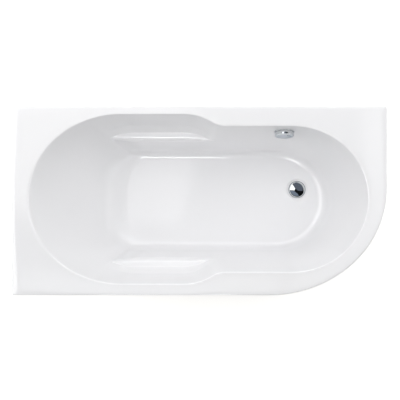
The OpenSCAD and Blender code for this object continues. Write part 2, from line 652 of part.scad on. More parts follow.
// Round knob: a hollow cap with a domed face, water slots in its skirt and a boss on the spindle.
module overflow_knob() color(chrome) at_overflow() difference() {
    union() {
        rotate_extrude() polygon(concat(
            [[knob_d / 2 - 2.5, knob_back], [knob_d / 2, knob_back]],
            [for (a = [0:15:90]) [knob_d / 2 - 4 + 4 * cos(a), knob_front - 5.2 + 4 * sin(a)]],
            [[knob_d / 4, knob_front - 0.3], [0, knob_front], [0, knob_front - 4.5], [knob_d / 2 - 5, knob_front - 4.5],
             [knob_d / 2 - 2.5, knob_front - 7]]));
        translate([0, 0, knob_back + 0.2]) cylinder(r = 8, h = knob_h - 3);
    }
    translate([0, 0, 0]) cylinder(r = spindle_r + 0.02, h = knob_front - 5.9);
    for (a = [-130, -110, -90, -70, -50]) rotate(a) translate([knob_d / 2 - 8, -4, knob_back - 1]) cube([16, 8, 5]);
}

// ---- Hose and cable -------------------------------------------------------------------------------
function in_overflow(p) = [
    overflow_x + p[0],
    overflow_y + p[1] * sin(wall_draft) - p[2] * cos(wall_draft),
    rim_height - overflow_depth + p[1] * cos(wall_draft) + p[2] * sin(wall_draft)];

// Smooth curve through points, as many short chords, and points at even steps along it.
spline_steps = 8;
function spline(p) = [for (k = [0:len(p) - 2], j = [0:spline_steps - 1]) let (
    t = j / spline_steps,
    p0 = p[max(0, k - 1)],
    p3 = p[min(len(p) - 1, k + 2)],
    a = p[k],
    b = p[k + 1])
    0.5 * (2 * a + t * (b - p0) + t * t * (2 * p0 - 5 * a + 4 * b - p3) + t * t * t * (3 * a - 3 * b + p3 - p0))];
function whole(p) = concat(spline(p), [p[len(p) - 1]]);
function lengths(p, i = 0, sum = 0) = i >= len(p) ? [] :
    concat([sum], lengths(p, i + 1, i + 1 < len(p) ? sum + norm(p[i + 1] - p[i]) : sum));
function along(p, far, s) = [for (axis = [0:2]) lookup(s, [for (i = [0:len(p) - 1]) [far[i], p[i][axis]]])];

// Rings of radius r, where r depends on the distance along the curve; each entry is [distance, radius].
tube_sides = 8;
tube_side_axis = [1, 0, 0];
function tube_ring(p, far, s, r) = let (
    c = along(p, far, s),
    d = unit(along(p, far, min(s + 1, far[len(far) - 1])) - along(p, far, max(0, s - 1))),
    u = unit(cross(d, tube_side_axis)),
    v = cross(d, u))
    [for (i = [0:tube_sides - 1]) let (a = 360 * (i + 0.5) / tube_sides) c + r * (cos(a) * v + sin(a) * u)];

hose_bore_r = 11.2;
hose_valley_r = 13;
hose_crest_r = 15;
hose_overlap = 21;
hose_straight = [0, 13, 26, 38];   // points on each port's axis
hose_pitch = 8;
hose_end = [drain_x, drain_y + port_end - hose_overlap, hose_port_z];
hose_route = concat(
    [for (s = hose_straight) in_overflow([hose_port_x, hose_overlap - port_end - s, port_depth])],
    [[358, 266, 320], [361, 246, 230], [370, 230, 168], [388, 198, 134], [412, 155, 127]],
    [for (k = [len(hose_straight) - 1:-1:0]) hose_end + [0, hose_straight[k], 0]]);
hose_path = whole(hose_route);
hose_far = lengths(hose_path);
hose_l = hose_far[len(hose_far) - 1];
rib_count = floor((hose_l - 2 * hose_overlap) / hose_pitch);

// Ribbed hose: plain cuffs at both ends, ribs between them, one bore all through.
module overflow_hose() {
    ribs = [for (k = [0:rib_count - 1]) let (s = hose_overlap + (k + 0.5) * (hose_l - 2 * hose_overlap) / rib_count)
        each [[s - hose_pitch * 0.3, hose_valley_r], [s + hose_pitch * 0.1, hose_crest_r]]];
    profile = concat([[0, hose_crest_r], [hose_overlap - 3, hose_crest_r]], ribs,
                     [[hose_l - hose_overlap + 3, hose_crest_r], [hose_l, hose_crest_r]]);
    bore_steps = 30;
    bore = [for (k = [0:bore_steps]) tube_ring(hose_path, hose_far, hose_l * k / bore_steps, hose_bore_r)];
    outside = [for (k = [len(profile) - 1:-1:0]) tube_ring(hose_path, hose_far, profile[k][0], profile[k][1])];
    color(white_plastic) skin(concat(bore, outside));
}

clip_w = 10;
module hose_clip(z_from) color(zinc) ring(z_from, z_from + clip_w, hose_crest_r + 0.1, hose_crest_r + 1.6);
module hose_clip_overflow() at_overflow() translate([hose_port_x, hose_overlap - port_end, port_depth]) rotate([90, 0, 0]) hose_clip(6);
module hose_clip_waste() translate(hose_end) rotate([-90, 0, 0]) hose_clip(6);

cable_r = 2.5;
cable_in = 8;
cable_straight = [0, 10, 24];
cable_end = [drain_x - cable_port_end + cable_in, drain_y, cable_port_z];
cable_route = concat(
    [for (s = cable_straight) in_overflow([cable_port_x, cable_in - overflow_cable_end - s, port_depth])],
    [[334, 266, 320], [337, 248, 235], [340, 230, 170], [341, 185, 136], [341, 120, 127], [344, 78, 128], [353, 57, 130]],
    [cable_end - [cable_in + 2, 0, 0], cable_end]);
cable_path = whole(cable_route);
cable_far = lengths(cable_path);
cable_l = cable_far[len(cable_far) - 1];
cable_rings = 44;
module bowden_cable() color(black_plastic) {
    rings = [for (k = [0:cable_rings]) tube_ring(cable_path, cable_far, cable_l * k / cable_rings, cable_r)];
    n = tube_sides;
    last = cable_rings * n;
    sides = [for (k = [0:cable_rings - 1], i = [0:n - 1]) let (a = k * n + i, b = k * n + (i + 1) % n)
        each [[a, b, b + n], [a, b + n, a + n]]];
    ends = concat([[for (i = [n - 1:-1:0]) i]], [[for (i = [0:n - 1]) last + i]]);
    polyhedron([for (r = rings) each r], concat(sides, ends));
}

// ---- Trap ---------------------------------------------------------------------------------------
trap_r = 46;
trap_low = 26;
trap_top = dish_z - 72;
socket_r = 25;
socket_top = trap_top + 12;
outlet_z = trap_top - 24;
outlet_r = 20;
outlet_socket_r = 24.5;

// Union nut with grip ribs round it.
module union_nut(length, r, bore, ribs) difference() {
    union() {
        cylinder(r = r, h = length);
        for (k = [0:ribs - 1]) rotate(360 * k / ribs) translate([r - 1, -2, 0]) cube([3.5, 4, length]);
    }
    translate([0, 0, -1]) cylinder(r = bore, h = length + 2);
}

module trap_nut() color(white_plastic) at_drain() difference() {
    translate([0, 0, trap_top + 1]) union_nut(18, 29, spigot_r + contact, 10);
    translate([0, 0, trap_top]) cylinder(r = socket_r + contact, h = socket_top - trap_top + 3.2);
}

module trap_seal() color(grey_rubber) at_drain() ring(socket_top + contact, socket_top + 3.1, spigot_r + contact, 24);

// Shallow drum with a dip tube inside and a socket for the waste pipe at its side.
module trap_body() color(white_plastic) at_drain() difference() {
    union() {
        difference() {
            translate([0, 0, trap_low]) cylinder(r = trap_r, h = trap_top - trap_low);
            translate([0, 0, trap_low + 3]) cylinder(r = trap_r - 3, h = trap_top - trap_low - 6);
        }
        translate([0, 0, trap_low + 10]) cylinder(r = spigot_r + 1.5, h = trap_top - trap_low - 10);
        translate([0, 0, trap_top - 2]) cylinder(r = socket_r, h = socket_top - trap_top + 2);
        translate([trap_r - 4, 0, outlet_z]) rotate([0, 90, 0]) cylinder(r = outlet_socket_r - 1, h = 40);
        translate([0, 0, trap_low - 1]) cylinder(r = 30, h = 3);
    }
    translate([0, 0, trap_low + 9]) cylinder(r = spigot_r - 1.5, h = trap_top - trap_low - 11);
    translate([0, 0, trap_top - 3]) cylinder(r = spigot_r + contact, h = 40);
    translate([trap_r - 8, 0, outlet_z]) rotate([0, 90, 0]) cylinder(r = outlet_r - 2.5, h = 60);
    translate([trap_r + 8, 0, outlet_z]) rotate([0, 90, 0]) cylinder(r = outlet_held_r + contact, h = 60);
    translate([0, 0, 0]) cylinder(r = 24, h = trap_low + 4);
}

module trap_cleaning_cap() color(white_plastic) at_drain() {
    translate([0, 0, trap_low - 5]) cylinder(r = 30, h = 4 - contact);
    translate([0, 0, trap_low - 2]) cylinder(r = 24 - contact, h = 5);
    translate([-22, -2.5, trap_low - 9]) cube([44, 5, 5]);
}

module outlet_nut() color(white_plastic) at_drain()
    translate([trap_r + 20, 0, outlet_z]) rotate([0, 90, 0]) difference() {
        union_nut(18, 28, outlet_held_r + contact, 10);
        translate([0, 0, -1]) cylinder(r = outlet_socket_r - 1 + contact, h = 17.2);
    }

// Stub of waste pipe: its inner end is a little slimmer where the nut holds it.
outlet_pipe_l = 90;
outlet_held_l = 30;
outlet_held_r = 19;
module outlet_pipe() color(white_plastic) at_drain() translate([trap_r + 9, 0, outlet_z]) rotate([0, 90, 0]) {
    ring(0, outlet_held_l, outlet_r - 2.5, outlet_held_r);
    ring(outlet_held_l, outlet_pipe_l, outlet_r - 2.5, outlet_r);
}

acrylic_shell();
glassfibre_backing();
baseboard();
rim_batten_wall();
rim_batten_head();
rim_batten_front();
rim_batten_corner();
rim_batten_drain();
leg_rail_head();
leg_rail_drain();
centre_foot_bracket();
rail_screws();
leg_rod_1();
leg_rod_2();
leg_rod_3();
leg_rod_4();
leg_rod_5();
foot_pad_1();
foot_pad_2();
foot_pad_3();
foot_pad_4();
foot_pad_5();
leg_nuts_1();
leg_nuts_2();
leg_nuts_3();
leg_nuts_4();
leg_nuts_5();
wall_bracket_1();
wall_bracket_2();
wall_bracket_3();
wall_bracket_4();
bracket_screws();
waste_plug();
plug_seal();
plug_stem();
waste_flange();
flange_gasket();
waste_body_seal();
waste_body();
lift_lever();
lever_pin();
bowden_cable();
overflow_hose();
hose_clip_overflow();
hose_clip_waste();
overflow_body();
overflow_seal();
overflow_plate();
overflow_screws();
overflow_knob();
overflow_spindle();
trap_nut();
trap_seal();
trap_body();
trap_cleaning_cap();
outlet_nut();
outlet_pipe();
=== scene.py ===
# %% [markdown]
# # A p shaped shower bath
#
# This lesson dresses the CAD model of a white acrylic bath that has one large rounded corner at its
# drain end. The model is loaded first and never moved. It says where each part goes and how far it
# reaches, so a new piece made here is simply drawn at the same place, in the same frame: +X points to
# the drain end, +Y to the wall, +Z up, and the floor is at 0.

# %% Load the CAD model
import json
import math

import bmesh
import bpy
import numpy as np
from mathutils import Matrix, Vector, noise


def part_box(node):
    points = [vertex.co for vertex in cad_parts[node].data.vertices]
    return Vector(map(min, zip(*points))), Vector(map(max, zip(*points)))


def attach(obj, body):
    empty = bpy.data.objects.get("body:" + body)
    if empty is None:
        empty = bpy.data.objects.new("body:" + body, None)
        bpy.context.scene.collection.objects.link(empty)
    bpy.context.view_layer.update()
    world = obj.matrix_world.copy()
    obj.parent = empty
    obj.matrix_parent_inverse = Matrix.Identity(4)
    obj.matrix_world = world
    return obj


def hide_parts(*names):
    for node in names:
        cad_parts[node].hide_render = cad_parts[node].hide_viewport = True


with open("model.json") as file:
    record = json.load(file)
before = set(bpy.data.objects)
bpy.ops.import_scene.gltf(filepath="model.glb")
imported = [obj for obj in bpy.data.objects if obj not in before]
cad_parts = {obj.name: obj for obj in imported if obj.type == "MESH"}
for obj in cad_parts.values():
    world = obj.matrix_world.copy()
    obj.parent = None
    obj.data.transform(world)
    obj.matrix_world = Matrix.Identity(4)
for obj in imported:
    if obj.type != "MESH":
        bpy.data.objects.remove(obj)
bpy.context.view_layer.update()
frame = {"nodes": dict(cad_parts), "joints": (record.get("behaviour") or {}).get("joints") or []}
print("CAD nodes:", len(frame["nodes"]))

# %% [markdown]
# ## The camera
# The photograph looks straight down into the bath from about five and a half metres, through a
# long lens, with the wall side at the top of the picture. A camera that isn't turned looks down -Z
# with +Y up, which is just that. The lens was found from the rim and the floor, which lie at
# different depths, so that both have the right size in the picture.

# %% Camera
camera = bpy.data.objects.new("camera", bpy.data.cameras.new("camera"))
bpy.context.scene.collection.objects.link(camera)
camera.location = (0.002, 0.0028, 5.57)
camera.data.sensor_width = 36
camera.data.lens = 112.36
bpy.context.scene.camera = camera
print("camera", tuple(camera.location), "lens", camera.data.lens, "mm")

# %% [markdown]
# ## Working in millimetres
# Baths are drawn in millimetres, and Blender works in metres here. Every shape below is therefore
# worked out in millimetres, and one helper turns a list of points and faces into a Blender object at
# the right scale. It shades the mesh smoothly but keeps edges sharper than a given angle.

# %% Helpers for meshes
MM = 0.001
pieces = {}


def add_piece(name, points, faces, sharp=35):
    """A new mesh object from points in millimetres; edges steeper than sharp degrees stay sharp."""
    mesh = bpy.data.meshes.new(name)
    mesh.from_pydata((np.asarray(points, float) * MM).tolist(), [], faces)
    mesh.shade_smooth()
    mesh.set_sharp_from_angle(angle=math.radians(sharp))
    pieces[name] = bpy.data.objects.new(name, mesh)
    bpy.context.scene.collection.objects.link(pieces[name])
    return pieces[name]


def lerp(a, b, t):
    return a + (b - a) * t


def unit(v):
    return v / np.linalg.norm(v, axis=-1, keepdims=True)


def skin_faces(rows, n, closed):
    """Four-sided faces between neighbouring rings of n points each."""
    return [(k * n + i, k * n + (i + 1) % n, (k + 1) % rows * n + (i + 1) % n, (k + 1) % rows * n + i)
            for k in range(rows if closed else rows - 1) for i in range(n)]


def cut_out(piece, cutter):
    """Cuts the cutter's volume out of the piece, and removes the cutter."""
    cut = piece.modifiers.new("cut", "BOOLEAN")
    cut.object, cut.operation, cut.solver = cutter, "DIFFERENCE", "MANIFOLD"
    seen = piece.evaluated_get(bpy.context.evaluated_depsgraph_get())
    piece.data = bpy.data.meshes.new_from_object(seen)
    piece.modifiers.clear()
    bpy.data.objects.remove(pieces.pop(cutter.name))


# %% [markdown]
# ## What the frame says
# The rim's size comes from the box of the CAD shell, and the drain's place from the box of the CAD
# plug. The knob's place and the direction of its axis come from the joint that turns it.

# %% Sizes and places from the frame
shell_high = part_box("acrylic_shell")[1]
HALF_LENGTH, HALF_WIDTH, RIM_Z = (c / MM for c in shell_high)
knob_joint = next(joint for joint in frame["joints"] if joint["name"] == "knob_turn")
OVERFLOW = np.array(knob_joint["pos_m"]) / MM
OUT_OF_WALL = np.array(knob_joint["axis"], float)
if OUT_OF_WALL[1] > 0:
    OUT_OF_WALL = -OUT_OF_WALL
UP_WALL = np.array([0, OUT_OF_WALL[2], -OUT_OF_WALL[1]])
plug_low, plug_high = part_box("waste_plug")
DRAIN = np.array([(plug_low.x + plug_high.x) / 2, (plug_low.y + plug_high.y) / 2]) / MM
print("rim", HALF_LENGTH, HALF_WIDTH, RIM_Z, "drain", DRAIN.round(2), "overflow", OVERFLOW.round(1))

# %% [markdown]
# ## The bowl's plan
# A bath is moulded from one heated sheet that is sucked down over a mould, so its surface is one
# continuous skin. It could be modelled by hand with a subdivision surface, but the curves of this
# bowl are plain arcs and ellipses, so it is drawn from formulas instead: the outline of the opening
# and the outline of the floor are both known, and every level between is a blend of the two.
#
# Each ring round the bath has a point at every station. A station is a stretch of the outline (0 the
# drain end, 1 the narrow sides, 2 the reverse curve, 3 the wide sides, 4 the head end), a share from
# 0 to 1 along it towards the head, and a side (+1 the wall, -1 the room). Half way along a stretch
# with one of the rim's tight corners, the stations lie close together, over a share of twice PINCH.

# %% Stations round the bath
PINCH = 0.012
CAP_POINTS, TIGHT_CORNER_POINTS, SIDE_POINTS, CURVE_POINTS, LARGE_CORNER_POINTS = 32, 8, 20, 44, 64


def even(a, b, n):
    """The numbers from a towards b in n even steps, without b itself."""
    return list(np.linspace(a, b, n, endpoint=False))


cap = even(0, 0.5 - PINCH, CAP_POINTS)
cap += even(0.5 - PINCH, 0.5 + PINCH, TIGHT_CORNER_POINTS)
cap += even(0.5 + PINCH, 1, CAP_POINTS)
straight_side, reverse = even(0, 1, SIDE_POINTS), even(0, 1, CURVE_POINTS)
large_corner = even(0, 1, LARGE_CORNER_POINTS)
table = []
for stretch_k, shares in enumerate((cap, straight_side, reverse, straight_side, cap)):
    table += [(stretch_k, s, 1) for s in shares]
for stretch_k, shares in zip((4, 3, 2, 1, 0), (cap, straight_side, reverse, straight_side, large_corner)):
    table += [(stretch_k, 1 - s, -1) for s in shares]
stretch, share, side = np.array(table, float).T
STATIONS = len(table)
print("stations round the bath:", STATIONS)

# %% Outline of the bowl at any level
OPENING = dict(head=683, drain=674, half_width=291, mid_y=6.9, drain_cap=304, head_cap=375)
FLOOR = dict(head=328, drain=518, half_width=186, mid_y=0.5, drain_cap=186, head_cap=128)
FLOOR_HEAD_POWER = 2.6      # the floor's head corners are those of a superellipse
# Where the reverse curve starts and ends at the opening, and how far that shifts at the floor.
NARROW_FROM, NARROW_DRAW = 105, 75
WIDE_FROM, WIDE_DRAW = -64, 30
ELBOW_ROOM = 48             # how much wider each side is beside the armrest
CURVE_SHARE_WIDE = 0.68     # the wide end's share of the two radii together


def reverse_curve(s, length):
    """Share of the elbow room at a share s along the reverse curve, which is two arcs."""
    turn = 2 * np.arctan(ELBOW_ROOM / length)
    r_sum = length / np.sin(turn)
    r_wide = CURVE_SHARE_WIDE * r_sum
    r_narrow = r_sum - r_wide
    x = s * length
    first = (r_narrow - np.sqrt(np.clip(r_narrow ** 2 - x ** 2, 0, None))) / ELBOW_ROOM
    second = 1 - (r_wide - np.sqrt(np.clip(r_wide ** 2 - (length - x) ** 2, 0, None))) / ELBOW_ROOM
    return np.where(x < r_narrow * np.sin(turn), first, second)


def bowl_xy(f, room):
    """The outline at every station: f is 0 at the opening and 1 at the floor, room is for elbows."""
    now = {key: lerp(OPENING[key], FLOOR[key], f) for key in OPENING}
    wide = now["half_width"]
    power = 2 / lerp(2, FLOOR_HEAD_POWER, f)
    x_drain, x_head = now["drain"] - now["drain_cap"], now["head_cap"] - now["head"]
    x_narrow, x_wide = NARROW_FROM - NARROW_DRAW * f, WIDE_FROM - WIDE_DRAW * f
    c, s = np.cos(share * math.pi / 2).clip(0), np.sin(share * math.pi / 2)
    at = [stretch == k for k in range(5)]
    x = np.select(at, [x_drain + now["drain_cap"] * c, lerp(x_drain, x_narrow, share),
                       lerp(x_narrow, x_wide, share), lerp(x_wide, x_head, share),
                       x_head - now["head_cap"] * s ** power])
    y = np.select(at, [wide * s, wide + 0 * s, wide + room * reverse_curve(share, x_narrow - x_wide),
                       wide + room + 0 * s, (wide + room) * c ** power])
    return np.column_stack((x, now["mid_y"] + side * y))


# %% [markdown]
# ## The bowl's section
# Seen in section, the wall rolls over from the rim on a small radius, runs down almost straight, and
# sweeps out near the bottom to meet the floor in a soft crease. Half way down, the wide part of the
# bowl steps in to the narrow width: that step is the armrest. Its corners are rounded with short
# quadratic curves, since a heated sheet can't take a sharp bend. The armrest on the wall side falls
# a little to the bowl and has a softer front edge, and the one on the room side falls to its back.
# Round the two ends the one section turns gradually into the other.

# %% Section of the wall
# How far below the rim the roll ends, the wall's foot starts and the foot ends, and how much of the
# way in to the floor's outline the wall has gone where its foot starts.
ROLL_DROP, FLARE_DROP, CREASE_DROP, FLARE_F = 5, 362, 415.5, 0.72
# The slope that the foot starts with, and the even share of its fall, in general and at the backrest.
FLARE_START, FLARE_LINEAR, FLARE_LINEAR_HEAD = 2.512, 0.28, 0.5
FLOOR_DEPTH, FLOOR_FALL, DRAIN_X = 417, 0.012, DRAIN[0]
FLOOR_TOP = RIM_Z - FLOOR_DEPTH
ARMREST_DEPTH, ARMREST_HEAD_FADE = 217, 0.24
# Corners of the armrest's section: how far out and how far below its top each lies, and its rounding.
ARMREST_CORNERS = [(48, -60, 0), (48, -42, 14), (34, 0, 3), (11, 0, 0), (0.5, 16, 7), (0, 26, 0)]
ARMREST_BACK, ARMREST_FRONT = 2, 3
# How far below the top the back lies, and the rounding of the front edge, on each side.
ARMREST_WALL_SIDE, ARMREST_ROOM_SIDE = (-2, 8), (0.8, 4)


def wall_f(drop):
    """Share of the way from the opening's outline to the floor's, at a drop below the rim."""
    return FLARE_F * (drop - ROLL_DROP) / (FLARE_DROP - ROLL_DROP)


def flare(t, straight=FLARE_LINEAR):
    """The foot's fall at a share t of its width; straight is how much of that fall is even."""
    power = (FLARE_START - straight) / (1 - straight)
    return (1 - straight) * (1 - (1 - t) ** power) + straight * t


def floor_z(x):
    """The floor's level, which falls towards the drain."""
    return FLOOR_TOP + FLOOR_FALL * np.clip(DRAIN_X - x, 0, None)


def elbow(f, left):
    """Elbow room at every station, where left is the share of it that the armrest leaves."""
    fade = np.where(stretch == 4, 1 - np.minimum(1, share / ARMREST_HEAD_FADE) ** 1.5, 1)
    return ELBOW_ROOM * lerp(1 - f, left, fade)


drop_scale = (RIM_Z - floor_z(bowl_xy(1, 0)[:, 0])) / FLOOR_DEPTH


def wall_ring(f, drop, left):
    """A ring of the wall, with the share of the elbow room that the armrest leaves."""
    return np.column_stack((bowl_xy(f, elbow(f, left)), RIM_Z - drop * drop_scale))


def plain_ring(drop, left):
    return wall_ring(wall_f(drop), drop, left)


def bezier(a, b, c, steps):
    """Points of a quadratic curve from a towards c, without c itself."""
    return [lerp(lerp(a, b, t), lerp(b, c, t), t) for t in np.arange(steps) / steps]


def round_corners(corners, steps=5):
    """A line through (x, y, reach) corners, each rounded over its reach along both its sides."""
    spots = [np.array(c[:2], float) for c in corners]
    line = [spots[0]]
    for k in range(1, len(corners) - 1):
        back, on = (unit(spots[k + d] - spots[k]) * corners[k][2] for d in (-1, 1))
        line += bezier(spots[k] + back, spots[k], spots[k] + on, steps) + [spots[k] + on]
    return line + [spots[-1]]


def armrest_section(lean, front):
    """The section as (out, level) points, with its back's level and its front edge's rounding."""
    corners = [list(corner) for corner in ARMREST_CORNERS]
    corners[ARMREST_BACK][1] = lean
    corners[ARMREST_FRONT][2] = front
    return np.array(round_corners(corners))


cap_share = np.select([stretch == 0, stretch == 4], [share, 1 - share], 1)
towards_wall = 0.5 + 0.5 * side * (0.5 - 0.5 * np.cos(math.pi * cap_share))
armrest_line = [lerp(on_room_side[None, :], on_wall_side[None, :], towards_wall[:, None])
                for on_room_side, on_wall_side in zip(armrest_section(*ARMREST_ROOM_SIDE),
                                                      armrest_section(*ARMREST_WALL_SIDE))]
print("armrest section:", len(armrest_line), "points")

# %% [markdown]
# ## The rim
# The rim is flat and as wide as the bath, with three tight corners and one large one, a quarter of
# an ellipse. Its stations have to pair up with the bowl's, so each end's outline is shared out among
# the stations of that end's cap, and the tight corners take the few close stations in the middle.

# %% Outline of the rim
CORNER_LENGTH, CORNER_WIDTH = 472, 425
CORNER_X, CORNER_Y = HALF_LENGTH - CORNER_LENGTH, CORNER_WIDTH - HALF_WIDTH
RIM_CORNER_R, RIM_EDGE_R, SKIRT_DEPTH = 8, 4, 35


def other_leg(leg):
    """The second coordinate of a point on a circle of radius 1, from the first."""
    return np.sqrt(np.clip(1 - leg ** 2, 0, None))


def corner_x(y, q):
    """The large corner's x at y, moved inwards by q."""
    return CORNER_X + (CORNER_LENGTH - q) * other_leg((CORNER_Y - y) / (CORNER_WIDTH - q))


def corner_y(x, q):
    """The front edge's y at x, moved inwards by q."""
    bent = CORNER_Y - (CORNER_WIDTH - q) * other_leg((x - CORNER_X) / (CORNER_LENGTH - q))
    return np.where(x < CORNER_X, q - HALF_WIDTH, bent)


def outer_ring(q, z):
    """The rim's outline at every station, moved inwards by q."""
    r, x0, y0 = max(1, RIM_CORNER_R - q), HALF_LENGTH - q, HALF_WIDTH - q
    mid = OPENING["mid_y"]
    drain_cap_x, head_cap_x = OPENING["drain"] - OPENING["drain_cap"], OPENING["head_cap"] - OPENING["head"]
    end = np.where(stretch == 0, 1, -1)
    s = np.where(stretch == 0, share, 1 - share)
    cap_x = np.where(stretch == 0, drain_cap_x, head_cap_x)
    sides_x = bowl_xy(0, 0)[:, 0]
    near_y = lerp(mid, side * (y0 - r), s / (0.5 - PINCH))
    turn = ((s - 0.5 + PINCH) / (2 * PINCH)).clip(0, 1) * math.pi / 2
    start = math.acos((CORNER_Y - mid) / (CORNER_WIDTH - q))
    stop = math.asin((drain_cap_x - CORNER_X) / (CORNER_LENGTH - q))
    a = lerp(start, stop, s)
    at = [(stretch > 0) & (stretch < 4), (stretch == 0) & (side < 0), s < 0.5 - PINCH, s <= 0.5 + PINCH]
    end_x = np.where((end > 0) & (near_y < CORNER_Y), corner_x(near_y, q), end * x0)
    last_x = lerp(end * (x0 - r), cap_x, (s - 0.5 - PINCH) / (0.5 - PINCH))
    x = np.select(at, [sides_x, CORNER_X + (CORNER_LENGTH - q) * np.sin(a), end_x,
                       end * (x0 - r + r * np.cos(turn))], last_x)
    sides_y = np.where(side > 0, y0, corner_y(sides_x, q))
    y = np.select(at, [sides_y, CORNER_Y - (CORNER_WIDTH - q) * np.cos(a), near_y,
                       side * (y0 - r + r * np.sin(turn))], side * y0)
    return np.column_stack((x, y, np.full(STATIONS, float(z))))


# %% [markdown]
# The rim turns down into the bowl on a five millimetre roll. To meet a flat rim and a leaning wall
# without a kink, the roll at each station starts from the wall's own slope there.

# %% The roll over the rim's inner edge
SLOPE_PROBE = 60            # how far below the rim the wall's slope is measured


def outward(outline):
    """The level direction that points outwards at each point of a closed outline."""
    step = np.roll(outline, -1, 0) - np.roll(outline, 1, 0)
    return unit(np.column_stack((step[:, 1], -step[:, 0])))


opening = bowl_xy(0, elbow(0, 1))
opening_out = outward(opening)
probe = bowl_xy(wall_f(SLOPE_PROBE), elbow(wall_f(SLOPE_PROBE), 1))
wall_slope = ((opening - probe) * opening_out).sum(1) / (SLOPE_PROBE - ROLL_DROP)


def roll_ring(t):
    """A ring of the roll, from t = 0 on the flat rim to 1 on the wall."""
    knee = ROLL_DROP * wall_slope
    reach = ROLL_DROP * np.sqrt(1 + wall_slope ** 2)
    out = (1 - t) ** 2 * (knee + reach) + 2 * t * (1 - t) * knee
    level = np.full(STATIONS, RIM_Z - t * t * ROLL_DROP)
    return np.column_stack((opening + opening_out * out[:, None], level))


# %% [markdown]
# ## The floor and the drain's dish
# The floor falls gently to the drain, which sits in a shallow round dish, so that the last of the
# water leaves.

# %% Rings of the floor
DISH_R, DISH_DEPTH, DRAIN_HOLE_R = 46, 3, 26
DISH_Z = FLOOR_TOP - DISH_DEPTH
floor_edge = bowl_xy(1, 0)
from_drain = unit(floor_edge - DRAIN)


def on_floor(p):
    return np.column_stack((p, floor_z(p[:, 0])))


def floor_ring(s, r=DISH_R, start=floor_edge):
    """A ring of the floor, a share s of the way from its start to a circle of radius r."""
    return on_floor(lerp(start, DRAIN + from_drain * r, s))


def dish_ring(r, z):
    """A circle round the drain at one level."""
    return np.column_stack((DRAIN + from_drain * r, np.full(STATIONS, float(z))))


# %% [markdown]
# ## The crease between wall and floor
# The wall's foot meets the floor in a crease that catches the light as a thin line, so it gets a true
# rounding. At each station it starts a few millimetres before the floor's edge, runs on along the
# wall's own slope until it reaches the floor, and ends as far again along the floor. The backrest
# keeps its slope longest, so that its foot ends in a soft step and not in a line.

# %% The crease
REACH_ROOM_SIDE, REACH_WALL_SIDE, REACH_HEAD, REACH_DRAIN = 6, 3, 9, 4
SLOPE_STEP = 0.01
floor_in = -outward(floor_edge)
flare_width = -((bowl_xy(FLARE_F, elbow(FLARE_F, 0)) - floor_edge) * floor_in).sum(1)
reach_of_side = np.where(floor_in[:, 1] < 0, REACH_WALL_SIDE, REACH_ROOM_SIDE)
reach_of_end = np.where(floor_in[:, 0] > 0, REACH_HEAD, REACH_DRAIN)
crease_t = 1 - lerp(reach_of_side, reach_of_end, floor_in[:, 0] ** 2) / flare_width
straight_foot = lerp(FLARE_LINEAR, FLARE_LINEAR_HEAD, floor_in[:, 0].clip(0) ** 2)


def foot_ring(t, straight=FLARE_LINEAR):
    """The wall's foot, from t = 0 where the wall ends to t = 1 at the floor's edge."""
    return wall_ring(lerp(FLARE_F, 1, t), lerp(FLARE_DROP, CREASE_DROP, flare(t, straight)), 0)


crease_from = foot_ring(crease_t, straight_foot)
foot_slope = unit(foot_ring(crease_t + SLOPE_STEP, straight_foot) - crease_from)
run = (crease_from[:, 2] - floor_z(crease_from[:, 0])) / -foot_slope[:, 2]
crease_corner = crease_from + foot_slope * run[:, None]
leg = np.linalg.norm((crease_corner - crease_from)[:, :2], axis=1)
crease_to = on_floor(crease_corner[:, :2] + floor_in * leg[:, None])
print("crease legs:", leg.min().round(1), "to", leg.max().round(1), "mm")

# %% [markdown]
# ## The shell's two faces
# The upper face is what the photograph shows, so it gets close rings. The lower face follows the
# same skin five millimetres below it, and as only its plain form shows from beneath, it uses the
# few rings of the CAD model. `lowered` moves each ring along the surface's own normals, which keeps
# the sheet equally thick on walls and floor.

# %% Rings of the upper face
SHELL_T, BOND_GAP, GLASSFIBRE_T = 5, 0.3, 3
STACK_T = SHELL_T + BOND_GAP + GLASSFIBRE_T
DISH_LIP, DISH_FLAT_R, FLANGE_SEAT_R = 1, DISH_R - 6, 33
RINGS = dict(skirt=4, edge=7, deck=7, roll=6, high_wall=15, low_wall=13, foot=14, crease=8, floor=14, dish=8)


def edge_ring(degrees):
    """A ring on the rounding of the rim's outer edge, from 0 at its side to 90 on top."""
    a = math.radians(degrees)
    return outer_ring(RIM_EDGE_R * (1 - math.cos(a)), RIM_Z - RIM_EDGE_R * (1 - math.sin(a)))


armrest_top, armrest_foot = (ARMREST_DEPTH + armrest_line[k][0, 1] for k in (0, -1))
deck_edge, deck_inner = outer_ring(RIM_EDGE_R, RIM_Z), roll_ring(0)
upper = [outer_ring(0, z) for z in even(RIM_Z - SKIRT_DEPTH, RIM_Z - RIM_EDGE_R, RINGS["skirt"])]
upper += [edge_ring(degrees) for degrees in np.linspace(0, 90, RINGS["edge"])]
upper += [lerp(deck_edge, deck_inner, t) for t in np.linspace(0, 1, RINGS["deck"])[1:-1]]
upper += [roll_ring(t) for t in even(0, 1, RINGS["roll"])]
upper += [plain_ring(drop, 1) for drop in even(ROLL_DROP, armrest_top, RINGS["high_wall"])]
upper += [plain_ring(ARMREST_DEPTH + spots[:, 1], spots[:, 0] / ELBOW_ROOM) for spots in armrest_line]
upper += [plain_ring(drop, 0) for drop in even(armrest_foot, FLARE_DROP, RINGS["low_wall"])[1:]]
upper += [foot_ring(crease_t * t, straight_foot) for t in even(0, 1, RINGS["foot"])]
upper += bezier(crease_from, crease_corner, crease_to, RINGS["crease"])
upper += [floor_ring(s, DISH_R + DISH_LIP, crease_to[:, :2]) for s in np.linspace(0, 1, RINGS["floor"])]
dish_edge_z = upper[-1][:, 2]
